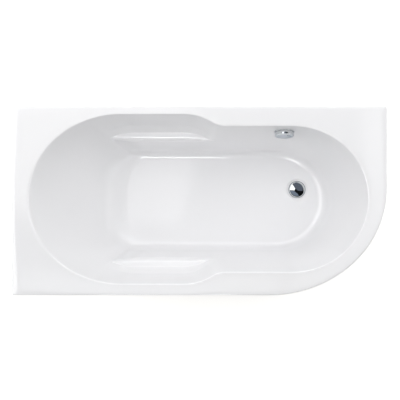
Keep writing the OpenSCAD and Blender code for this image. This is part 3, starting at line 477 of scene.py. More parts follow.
for t in np.linspace(0, 1, RINGS["dish"])[1:]:
    ring = dish_ring(lerp(DISH_R + DISH_LIP, DISH_FLAT_R, t), DISH_Z)
    ring[:, 2] = lerp(dish_edge_z, DISH_Z, t * t * (3 - 2 * t))
    upper.append(ring)
upper += [dish_ring(r, DISH_Z) for r in (FLANGE_SEAT_R, DRAIN_HOLE_R)]
print("rings of the upper face:", len(upper))

# %% Rings of the CAD model, and the same rings lowered into the sheet
CAD_ARMREST = [(-50, 1), (-34, 0.94), (-9, 0.76), (-4, 0.7), (-1, 0.27), (1.5, 0.2), (13, 0.035), (22, 0)]
CAD_HIGH_DROPS, CAD_LOW_DROPS = (ROLL_DROP, 18, 60, 120), (295, FLARE_DROP)
CAD_FOOT_SHARES = (0.2, 0.42, 0.66, 1)
CAD_DISH = [(DISH_R - 3, DISH_Z + 0.6), (DISH_FLAT_R, DISH_Z), (DRAIN_HOLE_R, DISH_Z)]
coarse = [outer_ring(0, RIM_Z - SKIRT_DEPTH)]
coarse += [edge_ring(degrees) for degrees in (0, 45, 90)]
coarse += [roll_ring(t) for t in (0, 1 / 3, 2 / 3)]
coarse += [plain_ring(drop, 1) for drop in CAD_HIGH_DROPS]
coarse += [plain_ring(ARMREST_DEPTH + level, left) for level, left in CAD_ARMREST]
coarse += [plain_ring(drop, 0) for drop in CAD_LOW_DROPS]
coarse += [foot_ring(t) for t in CAD_FOOT_SHARES]
coarse += [floor_ring(s) for s in (0.03, 1)]
coarse += [dish_ring(r, z) for r, z in CAD_DISH]
coarse = np.array(coarse)
around = np.roll(coarse, -1, 1) - np.roll(coarse, 1, 1)
across = np.concatenate((coarse[1:], coarse[-1:])) - np.concatenate((coarse[:1], coarse[:-1]))
coarse_normals = unit(np.cross(around, across))
LAST = len(coarse) - 1


def lowered(depth, rings):
    """The CAD model's rings with these numbers, moved into the sheet by depth."""
    return [coarse[k] - depth * coarse_normals[k] for k in rings]


def skinned(name, rings, sharp):
    """A piece whose skin runs over closed rings of stations and back to the first."""
    return add_piece(name, np.concatenate(rings), skin_faces(len(rings), len(rings[0]), True), sharp)


# %% The acrylic shell
FOLDED_IN_SHELL = (2, 5, 9)     # rings that would fold over when they are lowered
lower = lowered(SHELL_T, [k for k in range(LAST, -1, -1) if k not in FOLDED_IN_SHELL])
shell = skinned("bath_shell", upper + lower, 50)
print("shell:", len(shell.data.vertices), "points")

# %% [markdown]
# The overflow's round hole is cut through the wall with a Boolean. The cutter is a round bar that
# lies on the knob's axis.


# %% A round bar, and the overflow's hole
def turned(profile, origin, along, up, sides):
    """The points and faces of a closed row of (radius, distance) points turned about an axis."""
    along, up = unit(np.array(along, float)), unit(np.array(up, float))
    third = np.cross(along, up)
    angle = 2 * math.pi * np.arange(sides) / sides
    rim = np.cos(angle)[:, None] * up + np.sin(angle)[:, None] * third
    points = np.concatenate([np.array(origin) + h * along + r * rim for r, h in profile])
    return points, skin_faces(len(profile), sides, True)


def merge_centre(piece):
    """Joins the points that lie on each other, as those on a turned shape's axis do."""
    mesh = bmesh.new()
    mesh.from_mesh(piece.data)
    bmesh.ops.remove_doubles(mesh, verts=mesh.verts, dist=1e-6)
    bmesh.ops.dissolve_degenerate(mesh, edges=mesh.edges, dist=1e-7)
    bmesh.ops.recalc_face_normals(mesh, faces=mesh.faces)
    mesh.to_mesh(piece.data)
    mesh.free()


def lathed(name, profile, origin, along, up, sides, sharp=40):
    """A piece turned about an axis from the origin."""
    return add_piece(name, *turned(profile, origin, along, up, sides), sharp)


def overflow_cutter(name):
    """A closed round bar on the overflow's axis."""
    profile = [(0, -CUTTER_REACH), (HOLE_R, -CUTTER_REACH), (HOLE_R, CUTTER_REACH), (0, CUTTER_REACH)]
    piece = lathed(name, profile, OVERFLOW, OUT_OF_WALL, UP_WALL, sides=96, sharp=35)
    merge_centre(piece)
    return piece


HOLE_R, CUTTER_REACH = 26, 30
cut_out(shell, overflow_cutter("overflow_cutter"))
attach(shell, "tub")
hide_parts("acrylic_shell")
print("shell after the cut:", len(shell.data.polygons), "faces")

# %% [markdown]
# ## The glass fibre
# An acrylic sheet alone is too limp to stand in, so its back is sprayed with chopped glass fibre in
# polyester resin, which is rolled down by hand and sets about three millimetres thick. The result is
# lumpy. The piece follows the CAD backing, with extra rings between, and smooth noise takes up to a
# millimetre off its outer face, never adding any, so that it stays clear of the board under it.

# %% The glass fibre backing
FIRST_RING, LUMP_SIZE, LUMP_DEPTH, RING_STEP = 8, 45, 0.9, 14
FOLDED_INSIDE, FOLDED_OUTSIDE = (9,), (9, 15, 16, 17)       # rings that would fold over here
inside = lowered(SHELL_T + BOND_GAP, [k for k in range(FIRST_RING, LAST + 1) if k not in FOLDED_INSIDE])
outside_k = [k for k in range(LAST, FIRST_RING - 1, -1) if k not in FOLDED_OUTSIDE]
outside = []
for k, next_k in zip(outside_k, outside_k[1:]):
    gap = np.linalg.norm(coarse[k] - coarse[next_k], axis=1).mean()
    steps = max(1, round(gap / RING_STEP))
    here, there = lowered(STACK_T, (k, next_k))
    for t in np.arange(steps) / steps:
        outside.append((lerp(here, there, t), unit(lerp(coarse_normals[k], coarse_normals[next_k], t))))
lumpy = []
for points, normals in outside:
    dent = [LUMP_DEPTH * abs(noise.fractal(Vector(p) / LUMP_SIZE, 1.0, 2.0, 2)) for p in points]
    lumpy.append(points + normals * np.minimum(dent, LUMP_DEPTH)[:, None])
lumpy += lowered(STACK_T, outside_k[-1:])
backing = skinned("glassfibre_layer", inside + lumpy, 60)
cut_out(backing, overflow_cutter("backing_cutter"))
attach(backing, "tub")
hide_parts("glassfibre_backing")
print("glass fibre:", len(backing.data.polygons), "faces")

# %% [markdown]
# ## The plug
# The pop-up plug is a pressed and polished dome. It mirrors the whole room, so any flat facet would
# show at once. Turned on a lathe, so to speak, from a close profile, it has none.

# %% The plug
PLUG_R = (plug_high.x - plug_low.x) / 2 / MM
PLUG_LOW, PLUG_HIGH = plug_low.z / MM, plug_high.z / MM
CAP_R, CAP_RISE = PLUG_R - 1.2, 4
# The underside, as points so far inside the plug's edge and so far above its bottom.
UNDERSIDE = [(PLUG_R, 2.2), (3.4, 2.2), (3, 1.8), (3, 0.3), (2.7, 0), (0.4, 0), (0, 0.4)]
BALL_R = (CAP_R ** 2 + CAP_RISE ** 2) / (2 * CAP_RISE)
cap_tilt = math.asin(CAP_R / BALL_R)
edge_r = (PLUG_R - CAP_R) / (1 - math.sin(cap_tilt))
edge_low = PLUG_HIGH - CAP_RISE - edge_r * math.cos(cap_tilt)
dome = [(PLUG_R + edge_r * (math.sin(a) - 1), edge_low + edge_r * math.cos(a))
        for a in even(math.pi / 2, cap_tilt, 9)]
dome += [(BALL_R * math.sin(a), PLUG_HIGH - BALL_R * (1 - math.cos(a)))
         for a in np.linspace(cap_tilt, 0, 24)]
under = [(PLUG_R - inwards, PLUG_LOW + above) for inwards, above in UNDERSIDE]
plug = lathed("plug_dome", dome + under, (*DRAIN, 0), (0, 0, 1), (1, 0, 0), sides=128)
merge_centre(plug)
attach(plug, "plug")
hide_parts("waste_plug")
print("plug:", round(2 * PLUG_R, 1), "mm across")

# %% [markdown]
# The ring that the plug sits in ends in a thin flat lip, pressed against the dish. From above it is
# the dark line that sets the plug off from the white floor.

# %% The lip of the waste's flange
LIP = [(34.8, 0.1), (36.8, 0.1), (36.8, 2.3), (36.5, 2.7), (34.8, 2.7)]
lip = lathed("flange_lip", LIP, (*DRAIN, DISH_Z), (0, 0, 1), (1, 0, 0), sides=128)
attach(lip, "tub")

# %% [markdown]
# ## The overflow's knob
# The knob is a hollow chromed cap that turns on the overflow's plate and winds in the cable of the
# plug. Water enters behind it through slots in the lower part of its skirt. The cap is turned, and
# the slots are cut with five small blocks.

# %% The knob
KNOB_R, KNOB_BACK, KNOB_FRONT = 38, 4.2, 22.2
KNOB_EDGE, EDGE_FROM, FACE_BULGE, BULGE_POWER, KNOB_CHAMFER = 3, 5.2, 1.2, 2.2, 0.3
# The hollow, as points so far inside the knob's edge and so far behind its front.
HOLLOW = [(KNOB_R, 4.5), (5.5, 4.5), (3, 5.5), (2.5, 7.5)]
bend = [(KNOB_R - KNOB_EDGE + KNOB_EDGE * math.cos(a), KNOB_FRONT - EDGE_FROM + KNOB_EDGE * math.sin(a))
        for a in np.radians(np.linspace(0, 90, 10))]
face = [(r, KNOB_FRONT - FACE_BULGE * (r / (KNOB_R - KNOB_EDGE)) ** BULGE_POWER)
        for r in np.linspace(KNOB_R - KNOB_EDGE, 0, 9)[1:]]
hollow = [(KNOB_R - inwards, KNOB_FRONT - behind) for inwards, behind in HOLLOW]
hollow += [(KNOB_R - 2.5, KNOB_BACK + KNOB_CHAMFER), (KNOB_R - 2.2, KNOB_BACK)]
skirt = [(KNOB_R - KNOB_CHAMFER, KNOB_BACK), (KNOB_R, KNOB_BACK + KNOB_CHAMFER)]
knob = lathed("knob_cap", skirt + bend + face + hollow, OVERFLOW, OUT_OF_WALL, UP_WALL, sides=144)
merge_centre(knob)


def block(name, centre, axes, halves):
    """A block from its centre, three directions and half its size along each."""
    signs = [(x, y, z) for x in (-1, 1) for y in (-1, 1) for z in (-1, 1)]
    points = [centre + sum(s * h * a for s, h, a in zip(sign, halves, axes)) for sign in signs]
    faces = [(0, 1, 3, 2), (4, 6, 7, 5), (0, 4, 5, 1), (2, 3, 7, 6), (0, 2, 6, 4), (1, 5, 7, 3)]
    return add_piece(name, points, faces)


SLOT_TURNS, SLOT_LEVEL, SLOT_HALVES = (-40, -20, 0, 20, 40), 1.5, (8, 4, 2.5)
third_way = np.cross(UP_WALL, OUT_OF_WALL)
for turn in np.radians(SLOT_TURNS):
    outwards = -math.cos(turn) * UP_WALL + math.sin(turn) * third_way
    sideways = np.cross(OUT_OF_WALL, outwards)
    centre = OVERFLOW + outwards * KNOB_R + OUT_OF_WALL * (KNOB_BACK + SLOT_LEVEL)
    cut_out(knob, block("slot_cutter", centre, (outwards, sideways, OUT_OF_WALL), SLOT_HALVES))
knob.data.shade_smooth()
knob.data.set_sharp_from_angle(angle=math.radians(40))
BORE, BOSS_R, BOSS_LOW, BOSS_HIGH = 4.02, 8, KNOB_BACK + 0.2, KNOB_FRONT - 4.4
boss_end = [(BORE, BOSS_LOW), (BOSS_R - KNOB_CHAMFER, BOSS_LOW), (BOSS_R, BOSS_LOW + KNOB_CHAMFER)]
boss_profile = boss_end + [(BOSS_R, BOSS_HIGH), (BORE, BOSS_HIGH)]
boss = lathed("knob_boss", boss_profile, OVERFLOW, OUT_OF_WALL, UP_WALL, sides=48, sharp=35)
for piece in (knob, boss):
    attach(piece, "knob")
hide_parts("overflow_knob")
print("knob:", len(knob.data.polygons), "faces")

# %% [markdown]
# ## Routes for the hose and the cable
# A hose and a sheathed cable run from the overflow down to the drain, outside the bowl. Both follow
# the CAD model's routes: smooth curves through a few points, each leaving its port straight.

# %% Smooth routes
PORT_DEPTH, HOSE_PORT_X, CABLE_PORT_X = -27, 10, -14
PORT_END, HOSE_OVERLAP, HOSE_PORT_DROP = 58, 21, 31
CABLE_PORT_END, OVERFLOW_CABLE_END, CABLE_IN, CABLE_PORT_DROP = 50, 44, 8, 29
HOSE_MIDDLE = [(358, 266, 320), (361, 246, 230), (370, 230, 168), (388, 198, 134), (412, 155, 127)]
CABLE_MIDDLE = [(334, 266, 320), (337, 248, 235), (340, 230, 170), (341, 185, 136), (341, 120, 127),
                (344, 78, 128), (353, 57, 130)]


def in_overflow(x, y, z):
    """A point given by its way along X, up the wall and out of the wall, from the knob's place."""
    return OVERFLOW + np.array([x, 0, 0]) + y * UP_WALL + z * OUT_OF_WALL


def smooth(route, steps=16):
    """A curve through the route's points (Catmull-Rom), as a polyline and the distance along it."""
    p = np.array(route, float)
    line = []
    for k in range(len(p) - 1):
        before, a, b, after = p[max(0, k - 1)], p[k], p[k + 1], p[min(len(p) - 1, k + 2)]
        for t in np.arange(steps) / steps:
            bent = t * t * (2 * before - 5 * a + 4 * b - after) + t ** 3 * (3 * a - 3 * b + after - before)
            line.append(0.5 * (2 * a + t * (b - before) + bent))
    line = np.array(line + [p[-1]])
    return line, np.concatenate(([0], np.cumsum(np.linalg.norm(np.diff(line, axis=0), axis=1))))


def along_route(line, far, s):
    """The point at a distance s along a route."""
    return np.array([np.interp(s, far, line[:, axis]) for axis in range(3)])


def tube_rings(line, far, profile, sides):
    """Rings of points round a route, one for each (distance along it, radius)."""
    a = 2 * math.pi * (np.arange(sides) + 0.5)[:, None] / sides
    rings = []
    for s, r in profile:
        d = unit(along_route(line, far, min(s + 1, far[-1])) - along_route(line, far, max(0, s - 1)))
        u = unit(np.cross(d, (1, 0, 0)))
        rings.append(along_route(line, far, s) + r * (np.cos(a) * np.cross(d, u) + np.sin(a) * u))
    return rings


HOSE_STRAIGHT, CABLE_STRAIGHT = (0, 13, 26, 38), (0, 10, 24)
hose_end = np.array([*(DRAIN + (0, PORT_END - HOSE_OVERLAP)), DISH_Z - HOSE_PORT_DROP])
hose_route = [in_overflow(HOSE_PORT_X, HOSE_OVERLAP - PORT_END - s, PORT_DEPTH) for s in HOSE_STRAIGHT]
hose_route += HOSE_MIDDLE
hose_route += [hose_end + (0, s, 0) for s in reversed(HOSE_STRAIGHT)]
hose_line, hose_far = smooth(hose_route)
cable_end = np.array([DRAIN[0] - CABLE_PORT_END + CABLE_IN, DRAIN[1], DISH_Z - CABLE_PORT_DROP])
cable_start = CABLE_IN - OVERFLOW_CABLE_END
cable_route = [in_overflow(CABLE_PORT_X, cable_start - s, PORT_DEPTH) for s in CABLE_STRAIGHT]
cable_route += CABLE_MIDDLE
cable_route += [cable_end - (CABLE_IN + 2, 0, 0), cable_end]
cable_line, cable_far = smooth(cable_route)
print("hose", round(hose_far[-1], 1), "mm, cable", round(cable_far[-1], 1), "mm")

# %% [markdown]
# The hose is blown from soft plastic with a rib every eight millimetres, which lets it bend without
# closing up, and has a plain cuff at each end for its clip. Its radius along the route is a row of
# rounded ribs. The bore is plain.

# %% The hose
BORE_R, VALLEY_R, CREST_R, RIB_PITCH = 11.2, 13, 15, 8
HOSE_SIDES, RIB_STEPS, BORE_RINGS, RIB_SQUARENESS = 28, 6, 50, 0.7
hose_length = hose_far[-1]
ribbed = hose_length - 2 * HOSE_OVERLAP
rib_count = int(ribbed // RIB_PITCH)
CUFF_EDGE_R = CREST_R - 0.4
cuff = [(0, CUFF_EDGE_R), (0.6, CREST_R), (HOSE_OVERLAP - 4, CREST_R), (HOSE_OVERLAP - 2.5, CUFF_EDGE_R)]
outside_profile = list(cuff)
for k in range(rib_count * RIB_STEPS + 1):
    wave = math.cos(2 * math.pi * k / RIB_STEPS)
    swell = 0.5 - 0.5 * math.copysign(abs(wave) ** RIB_SQUARENESS, wave)
    spot = HOSE_OVERLAP + ribbed * k / (rib_count * RIB_STEPS)
    outside_profile.append((spot, lerp(VALLEY_R, CREST_R, swell)))
outside_profile += [(hose_length - s, r) for s, r in reversed(cuff)]
bore = [(s, BORE_R) for s in np.linspace(0, hose_length, BORE_RINGS)]
hose = skinned("ribbed_hose", tube_rings(hose_line, hose_far, bore + outside_profile[::-1], HOSE_SIDES), 50)
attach(hose, "tub")
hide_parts("overflow_hose")
print("hose ribs:", rib_count)

# %% [markdown]
# The cable is a steel wire in a smooth black sheath, like a bicycle's brake cable. Only the sheath
# shows.

# %% The cable
CABLE_R, CABLE_END_R, CABLE_SIDES, CABLE_RINGS = 2.5, 0.8, 16, 150


def with_ends(rings):
    """The points and faces of rings joined in a row and closed by a flat face at each end."""
    n = len(rings[0])
    last = (len(rings) - 1) * n
    ends = [tuple(range(n))[::-1], tuple(range(last, last + n))]
    return np.concatenate(rings), skin_faces(len(rings), n, False) + ends


cable_length = cable_far[-1]
cable_profile = [(s, CABLE_R) for s in np.linspace(0, cable_length, CABLE_RINGS)]
cable_profile = [(0, CABLE_END_R), *cable_profile, (cable_length, CABLE_END_R)]
cable_rings = tube_rings(cable_line, cable_far, cable_profile, CABLE_SIDES)
cable = add_piece("sheathed_cable", *with_ends(cable_rings), sharp=50)
merge_centre(cable)
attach(cable, "tub")
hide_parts("bowden_cable")

# %% [markdown]
# ## The leg rods
# The bath is levelled by turning its feet on threaded rods. A screw thread could be faked with a
# bump, but its outline shows against the light, so it is real geometry here: a ring of points whose
# radius follows the thread's turn. The pitch is the 1.75 mm of a coarse 12 mm thread.

# %% Threaded rods
THREAD_PITCH, THREAD_DEPTH, THREAD_STEEPNESS, ROD_CHAMFER = 1.75, 0.95, 2.6, 1.2
ROD_SIDES, TURN_STEPS = 18, 6


def threaded(name, node, body):
    """A threaded rod in the place of a CAD rod; returns its number of rings."""
    low, high = (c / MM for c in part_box(node))
    r = (high.x - low.x) / 2
    centre = np.array([(low.x + high.x) / 2, (low.y + high.y) / 2])
    angle = 2 * math.pi * np.arange(ROD_SIDES) / ROD_SIDES
    rings = []
    for z in [*np.arange(low.z, high.z, THREAD_PITCH / TURN_STEPS), high.z]:
        phase = (z / THREAD_PITCH - angle / (2 * math.pi)) % 1
        depth = THREAD_DEPTH * np.clip(1 - np.abs(phase - 0.5) * THREAD_STEEPNESS, 0, 1)
        chamfer = max(0, 1 - min(z - low.z, high.z - z) / ROD_CHAMFER)
        radius = np.minimum(r - depth, r - THREAD_DEPTH * chamfer)
        x, y = centre[0] + radius * np.cos(angle), centre[1] + radius * np.sin(angle)
        rings.append(np.column_stack((x, y, np.full(ROD_SIDES, z))))
    rod = add_piece(name, *with_ends(rings), sharp=75)
    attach(rod, body)
    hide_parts(node)
    return len(rings)


for k in range(1, 6):
    print("rod", k, "rings:", threaded(f"threaded_rod_{k}", f"leg_rod_{k}", f"foot_{k}"))

# %% [markdown]
# ## Edges of the CAD parts
# The rails, nuts, mouldings and screws keep their CAD shape. Real edges are never perfectly sharp,
# and it is the small highlight along them that makes a part look solid. A bevel modifier adds it
# without touching the CAD mesh. The weld before it joins the points that the CAD export split.

# %% Small bevels
WELD_MM, BEVEL_FROM_DEGREES = 0.01, 32
BEVELLED = {1.0: "rim_batten", 0.5: "baseboard leg_rail leg_nuts foot_pad trap_ outlet_",
            0.4: "centre_foot wall_bracket waste_body overflow_body rail_screws bracket_screws",
            0.25: "overflow_plate waste_flange"}
for name, node in frame["nodes"].items():
    width = next((w for w, starts in BEVELLED.items() if name.startswith(tuple(starts.split()))), 0)
    if width and not node.hide_render and not name.endswith("_seal"):
        weld = node.modifiers.new("weld", "WELD")
        weld.merge_threshold = WELD_MM * MM
        bevel = node.modifiers.new("bevel", "BEVEL")
        bevel.width, bevel.segments, bevel.limit_method = width * MM, 2, "ANGLE"
        bevel.angle_limit = math.radians(BEVEL_FROM_DEGREES)
        node.modifiers.new("even_shading", "WEIGHTED_NORMAL").keep_sharp = False
print("bevelled:", sum(1 for node in frame["nodes"].values() if node.modifiers))

# %% [markdown]
# ## Finishes
# Every finish is a node material built round one Principled shader. Colours are written as the
# everyday sRGB hex values and turned to linear light by one function, and every pattern has its real
# size in millimetres. A second small function adds a node, sets it up and links it. A few more stand
# for the steps that come back in most finishes, so that each material reads as a short list.

# %% Helpers for materials
finishes = {}


def linear(code):
    """An sRGB hex colour as the linear RGBA that a shader takes."""
    parts = [int(code[k:k + 2], 16) / 255 for k in (1, 3, 5)]
    return [c / 12.92 if c <= 0.04045 else ((c + 0.055) / 1.055) ** 2.4 for c in parts] + [1.0]


def feed(node, inputs):
    """Sets or links a node's inputs, by name or number."""
    for key, value in inputs.items():
        if isinstance(value, bpy.types.NodeSocket):
            node.id_data.links.new(value, node.inputs[key])
        else:
            node.inputs[key].default_value = value
    return node


def add_node(tree, kind, inputs={}, **settings):
    """A new node with its settings and its inputs, which are values or other nodes' sockets."""
    node = tree.nodes.new(kind)
    for key, value in settings.items():
        setattr(node, key, value)
    return feed(node, inputs)


def new_material(name):
    """The node tree of a new material."""
    finishes[name] = bpy.data.materials.new(name)
    finishes[name].use_nodes = True
    return finishes[name].node_tree


def start_finish(name, constants):
    """A new material: its shader with these constants, and its object coordinates."""
    tree = new_material(name)
    coordinates = add_node(tree, "ShaderNodeTexCoord")
    return feed(tree.nodes["Principled BSDF"], constants), coordinates.outputs["Object"]


def calculated(operation, *values):
    """The result of a math node; the first value is another node's socket."""
    inputs = dict(enumerate(values))
    return add_node(values[0].id_data, "ShaderNodeMath", inputs, operation=operation).outputs[0]


def stretched(place, scale, turn=(0, 0, 0)):
    """Coordinates with a scale for each axis, then turned."""
    inputs = {"Vector": place, "Scale": scale, "Rotation": turn}
    return add_node(place.id_data, "ShaderNodeMapping", inputs).outputs[0]


def grain(place, size_mm, detail=2.0, turn=(0, 0, 0)):
    """A noise of this size, or of three sizes along X, Y and Z that are then turned."""
    scale = 1.0
    if isinstance(size_mm, (int, float)):
        scale = 1000 / size_mm
    else:
        place = stretched(place, [1000 / s for s in size_mm], turn)
    inputs = {"Vector": place, "Scale": scale, "Detail": detail}
    return add_node(place.id_data, "ShaderNodeTexNoise", inputs).outputs[0]


def ranged(value, low, high, to_low=0.0, to_high=1.0):
    """A value moved from one range to another, and kept inside it."""
    inputs = {"Value": value, "From Min": low, "From Max": high, "To Min": to_low, "To Max": to_high}
    return add_node(value.id_data, "ShaderNodeMapRange", inputs).outputs[0]


def blend(factor, first, second):
    """The first colour where the factor is 0, the second where it is 1; each a hex code or a socket."""
    first, second = (linear(c) if isinstance(c, str) else c for c in (first, second))
    inputs = {0: factor, 6: first, 7: second}
    return add_node(factor.id_data, "ShaderNodeMix", inputs, data_type="RGBA").outputs[2]


def relief(height, strength, depth_mm):
    """The normal of a surface with bumps of this depth."""
    inputs = {"Height": height, "Strength": strength, "Distance": depth_mm * MM}
    return add_node(height.id_data, "ShaderNodeBump", inputs).outputs[0]


def either_shader(factor, first, second):
    """The first shader node where the factor is 0, the second where it is 1."""
    inputs = {0: factor, 1: first.outputs[0], 2: second.outputs[0]}
    return add_node(factor.id_data, "ShaderNodeMixShader", inputs).outputs[0]


# %% [markdown]
# **Acrylic.** The sheet is cast, coloured white all through, and formed hot. Its face is polished by
# the glass it was cast on, so it is glossy with clear but faint reflections (IOR 1.49). Forming
# leaves a very shallow waviness a few centimetres long, which makes reflections swim a little, and a
# hardly visible drift in tone.

# %% Cast acrylic
shader, place = start_finish("cast_acrylic", {"IOR": 1.49, "Roughness": 0.07})
tone = blend(grain(place, 350, 1.0), "#F2F2F3", "#EFEFF1")
feed(shader, {"Base Color": tone, "Normal": relief(grain(place, 45, 1.0), 0.5, 0.2)})

# %% [markdown]
# **Sprayed glass fibre.** Strands a few centimetres long lie in all directions in a cloudy, slightly
# yellow resin. Each layer of strands is a noise that is stretched along one direction; three of them
# at different angles look chopped. A strand bundle is about a millimetre wide, which is drawn at
# twice that so that it shows.

# %% Chopped glass fibre in resin
STRAND_MM, STRAND_TURNS = (35, 2, 2), ((0.2, 0.1, 0.5), (0.9, 0.3, 1.7), (0.4, 1.1, 2.7))
shader, place = start_finish("sprayed_glass_fibre", {"IOR": 1.54, "Roughness": 0.42})
first, second, third = (grain(place, STRAND_MM, 1.0, turn) for turn in STRAND_TURNS)
strands = calculated("MAXIMUM", calculated("MAXIMUM", first, second), third)
resin = blend(grain(place, 90, 3.0), "#C9C2A2", "#DDD8C2")
tone = blend(ranged(strands, 0.48, 0.72), resin, "#EDEADC")
feed(shader, {"Base Color": tone, "Normal": relief(strands, 0.8, 1.2)})

# %% [markdown]
# **Chipboard.** Wood chips a few millimetres long are pressed with glue. Cells of two sizes, each
# with a tone of its own, stand for the chips.

# %% Pressed chipboard
CHIP_MM, DUST_MM, SQUEEZE = 6, 1.8, (1, 0.55, 2.2)
shader, place = start_finish("pressed_chipboard", {"Roughness": 0.78})
squeezed = stretched(place, SQUEEZE)
chips, grit = (add_node(place.id_data, "ShaderNodeTexVoronoi", {"Vector": squeezed, "Scale": 1000 / size})
               for size in (CHIP_MM, DUST_MM))
chip_tone, grit_tone = (add_node(place.id_data, "ShaderNodeSeparateColor", {0: cells.outputs["Color"]})
                        for cells in (chips, grit))
tone = blend(grit_tone.outputs[1], blend(chip_tone.outputs[0], "#A88458", "#D3B487"), "#BF9B6C")
feed(shader, {"Base Color": tone, "Normal": relief(chips.outputs["Distance"], 0.5, 0.8)})

# %% [markdown]
# **Planed pine.** The battens under the rim are sawn softwood. Growth rings cut lengthwise show as
# long streaks: a noise stretched fifty times along the batten, with finer streaks for the fibres.
# The two side battens run along X and the two end battens along Y, so there are two materials. The
# board in the large corner is plywood, whose veneers show as level bands at its edges.


# %% Planed pine and plywood
def planed_pine(name, along_axis):
    """Softwood whose streaks run along one axis."""
    shader, place = start_finish(name, {"Roughness": 0.66})
    sizes = [STREAK_LONG if axis == along_axis else STREAK_WIDE for axis in range(3)]
    fine = grain(place, [size / FIBRES_FINER for size in sizes])
    wood = blend(ranged(grain(place, sizes), 0.42, 0.6), "#E0C394", "#C59A62")
    feed(shader, {"Base Color": blend(fine, wood, "#D9B887"), "Normal": relief(fine, 0.4, 0.4)})


STREAK_LONG, STREAK_WIDE, FIBRES_FINER = 300, 6, 6
planed_pine("planed_pine_lengthwise", 0)
planed_pine("planed_pine_crosswise", 1)

VENEER_MM = 1.6
shader, place = start_finish("sawn_plywood", {"Roughness": 0.7})
level = add_node(place.id_data, "ShaderNodeSeparateXYZ", {0: place}).outputs[2]
bands = calculated("SINE", calculated("MULTIPLY", level, math.pi / (VENEER_MM * MM)))
fibre = grain(place, 2)
wood = blend(ranged(bands, -0.4, 0.4), "#B78D5C", "#DCC095")
feed(shader, {"Base Color": blend(fibre, wood, "#CBA877"), "Normal": relief(fibre, 0.4, 0.4)})

# %% [markdown]
# **Zinc-plated steel.** Rails, rods, nuts, brackets and screws are plated with a thin coat of zinc.
# The plating is even and bright but not a mirror, with a cloudy change of gloss and a faint blue.

# %% Zinc-plated steel
shader, place = start_finish("zinc_plated_steel", {"Metallic": 1.0})
cloud = grain(place, 20, 4.0)
drawn = grain(place, (1.5, 30, 1.5))
feed(shader, {"Base Color": blend(cloud, "#B4B9BF", "#D3D6D9"), "Roughness": ranged(cloud, 0, 1, 0.26, 0.44),
              "Normal": relief(drawn, 0.3, 0.1)})

# %% [markdown]
# **Chrome plate.** The plug, the knob and their flanges are polished, then plated with nickel and
# chromium. Chrome is a cool, slightly dark mirror. A trace of roughness from handling softens
# distant reflections.

# %% Polished chrome plate
shader, place = start_finish("polished_chrome", {"Metallic": 1.0, "Specular Tint": linear("#CCD2D8")})
haze = grain(place, 12, 3.0)
feed(shader, {"Base Color": blend(haze, "#D6D9DC", "#DEE0E2"), "Roughness": ranged(haze, 0, 1, 0.03, 0.07)})


# %% [markdown]
# **Mouldings and rubber.** The mouldings are polypropylene: black and a little textured by the
# mould for the waste, the overflow and the feet, white and smoother for the trap and the pipes. The
# seals are EPDM rubber, matt with fine dust. One function covers all of them, since they differ only
# in colour, gloss and grain.

# %% Moulded plastics and rubber
def moulded(name, dark, light, gloss, grain_mm, depth_mm, ior=1.49):
    """A plastic or rubber between two tones and two roughnesses, with the mould's grain."""
    shader, place = start_finish(name, {"IOR": ior})
    cloud = grain(place, 30)
    feed(shader, {"Base Color": blend(cloud, dark, light), "Roughness": ranged(cloud, 0, 1, *gloss),
                  "Normal": relief(grain(place, grain_mm, 3.0), 0.5, depth_mm)})


moulded("textured_black_polypropylene", "#161719", "#222326", (0.38, 0.5), 0.9, 0.12)
moulded("smooth_white_polypropylene", "#E6E5E0", "#F0EFEB", (0.28, 0.38), 3.0, 0.05)
moulded("blown_hose_plastic", "#DADAD6", "#E9E9E5", (0.34, 0.46), 2.0, 0.08)
moulded("moulded_epdm_rubber", "#242426", "#303032", (0.65, 0.8), 0.7, 0.1, ior=1.52)
moulded("extruded_pvc_sheath", "#121315", "#1D1E20", (0.3, 0.4), 1.5, 0.05, ior=1.53)
print("finishes:", sorted(finishes))

# %% [markdown]
# Each piece and each CAD node that still shows now gets its finish. The longest matching start of
# its name decides.

# %% Which part has which finish
PARTS_WITH = {
    "cast_acrylic": "bath_shell",
    "sprayed_glass_fibre": "glassfibre_layer",
    "pressed_chipboard": "baseboard",
    "planed_pine_lengthwise": "rim_batten_wall rim_batten_front",
    "planed_pine_crosswise": "rim_batten_head rim_batten_drain",
    "sawn_plywood": "rim_batten_corner",
    "zinc_plated_steel": "leg_rail centre_foot_bracket rail_screws leg_nuts threaded_rod wall_bracket "
                         "bracket_screws plug_stem lift_lever lever_pin hose_clip overflow_screws "
                         "overflow_spindle",
    "textured_black_polypropylene": "foot_pad waste_body overflow_body",
    "polished_chrome": "plug_dome waste_flange flange_lip knob_ overflow_plate",
    "moulded_epdm_rubber": "plug_seal flange_gasket waste_body_seal overflow_seal trap_seal",
    "smooth_white_polypropylene": "trap_ outlet_",
    "blown_hose_plastic": "ribbed_hose",
    "extruded_pvc_sheath": "sheathed_cable",
}
finish_of = {start: finish for finish, starts in PARTS_WITH.items() for start in starts.split()}
shown = dict(pieces)
shown.update({name: node for name, node in frame["nodes"].items() if not node.hide_render})
for name, thing in shown.items():
    start = max((key for key in finish_of if name.startswith(key)), key=len)
    if not thing.material_slots:
        thing.data.materials.append(None)
    for material_slot in thing.material_slots:
        material_slot.material = finishes[finish_of[start]]
print("parts dressed:", len(shown))

# %% [markdown]
# ## The stage
# The photograph has a pure white ground with no visible shadow. A floor that glows white for the
# camera alone gives that ground, while it still takes the bath's soft shadow. The world does the
# same: it looks white, but lights the bath only as much as wanted.

# %% Floor and world
STAGE, FLOOR_LEVEL, FLOOR_GLOW, AMBIENT = 12000, -0.5, 0.55, 0.3
floor_corners = [(x * STAGE, y * STAGE, FLOOR_LEVEL) for x, y in ((-1, -1), (1, -1), (1, 1), (-1, 1))]
stage_floor = add_piece("stage_floor", floor_corners, [(0, 1, 2, 3)])
del pieces["stage_floor"]


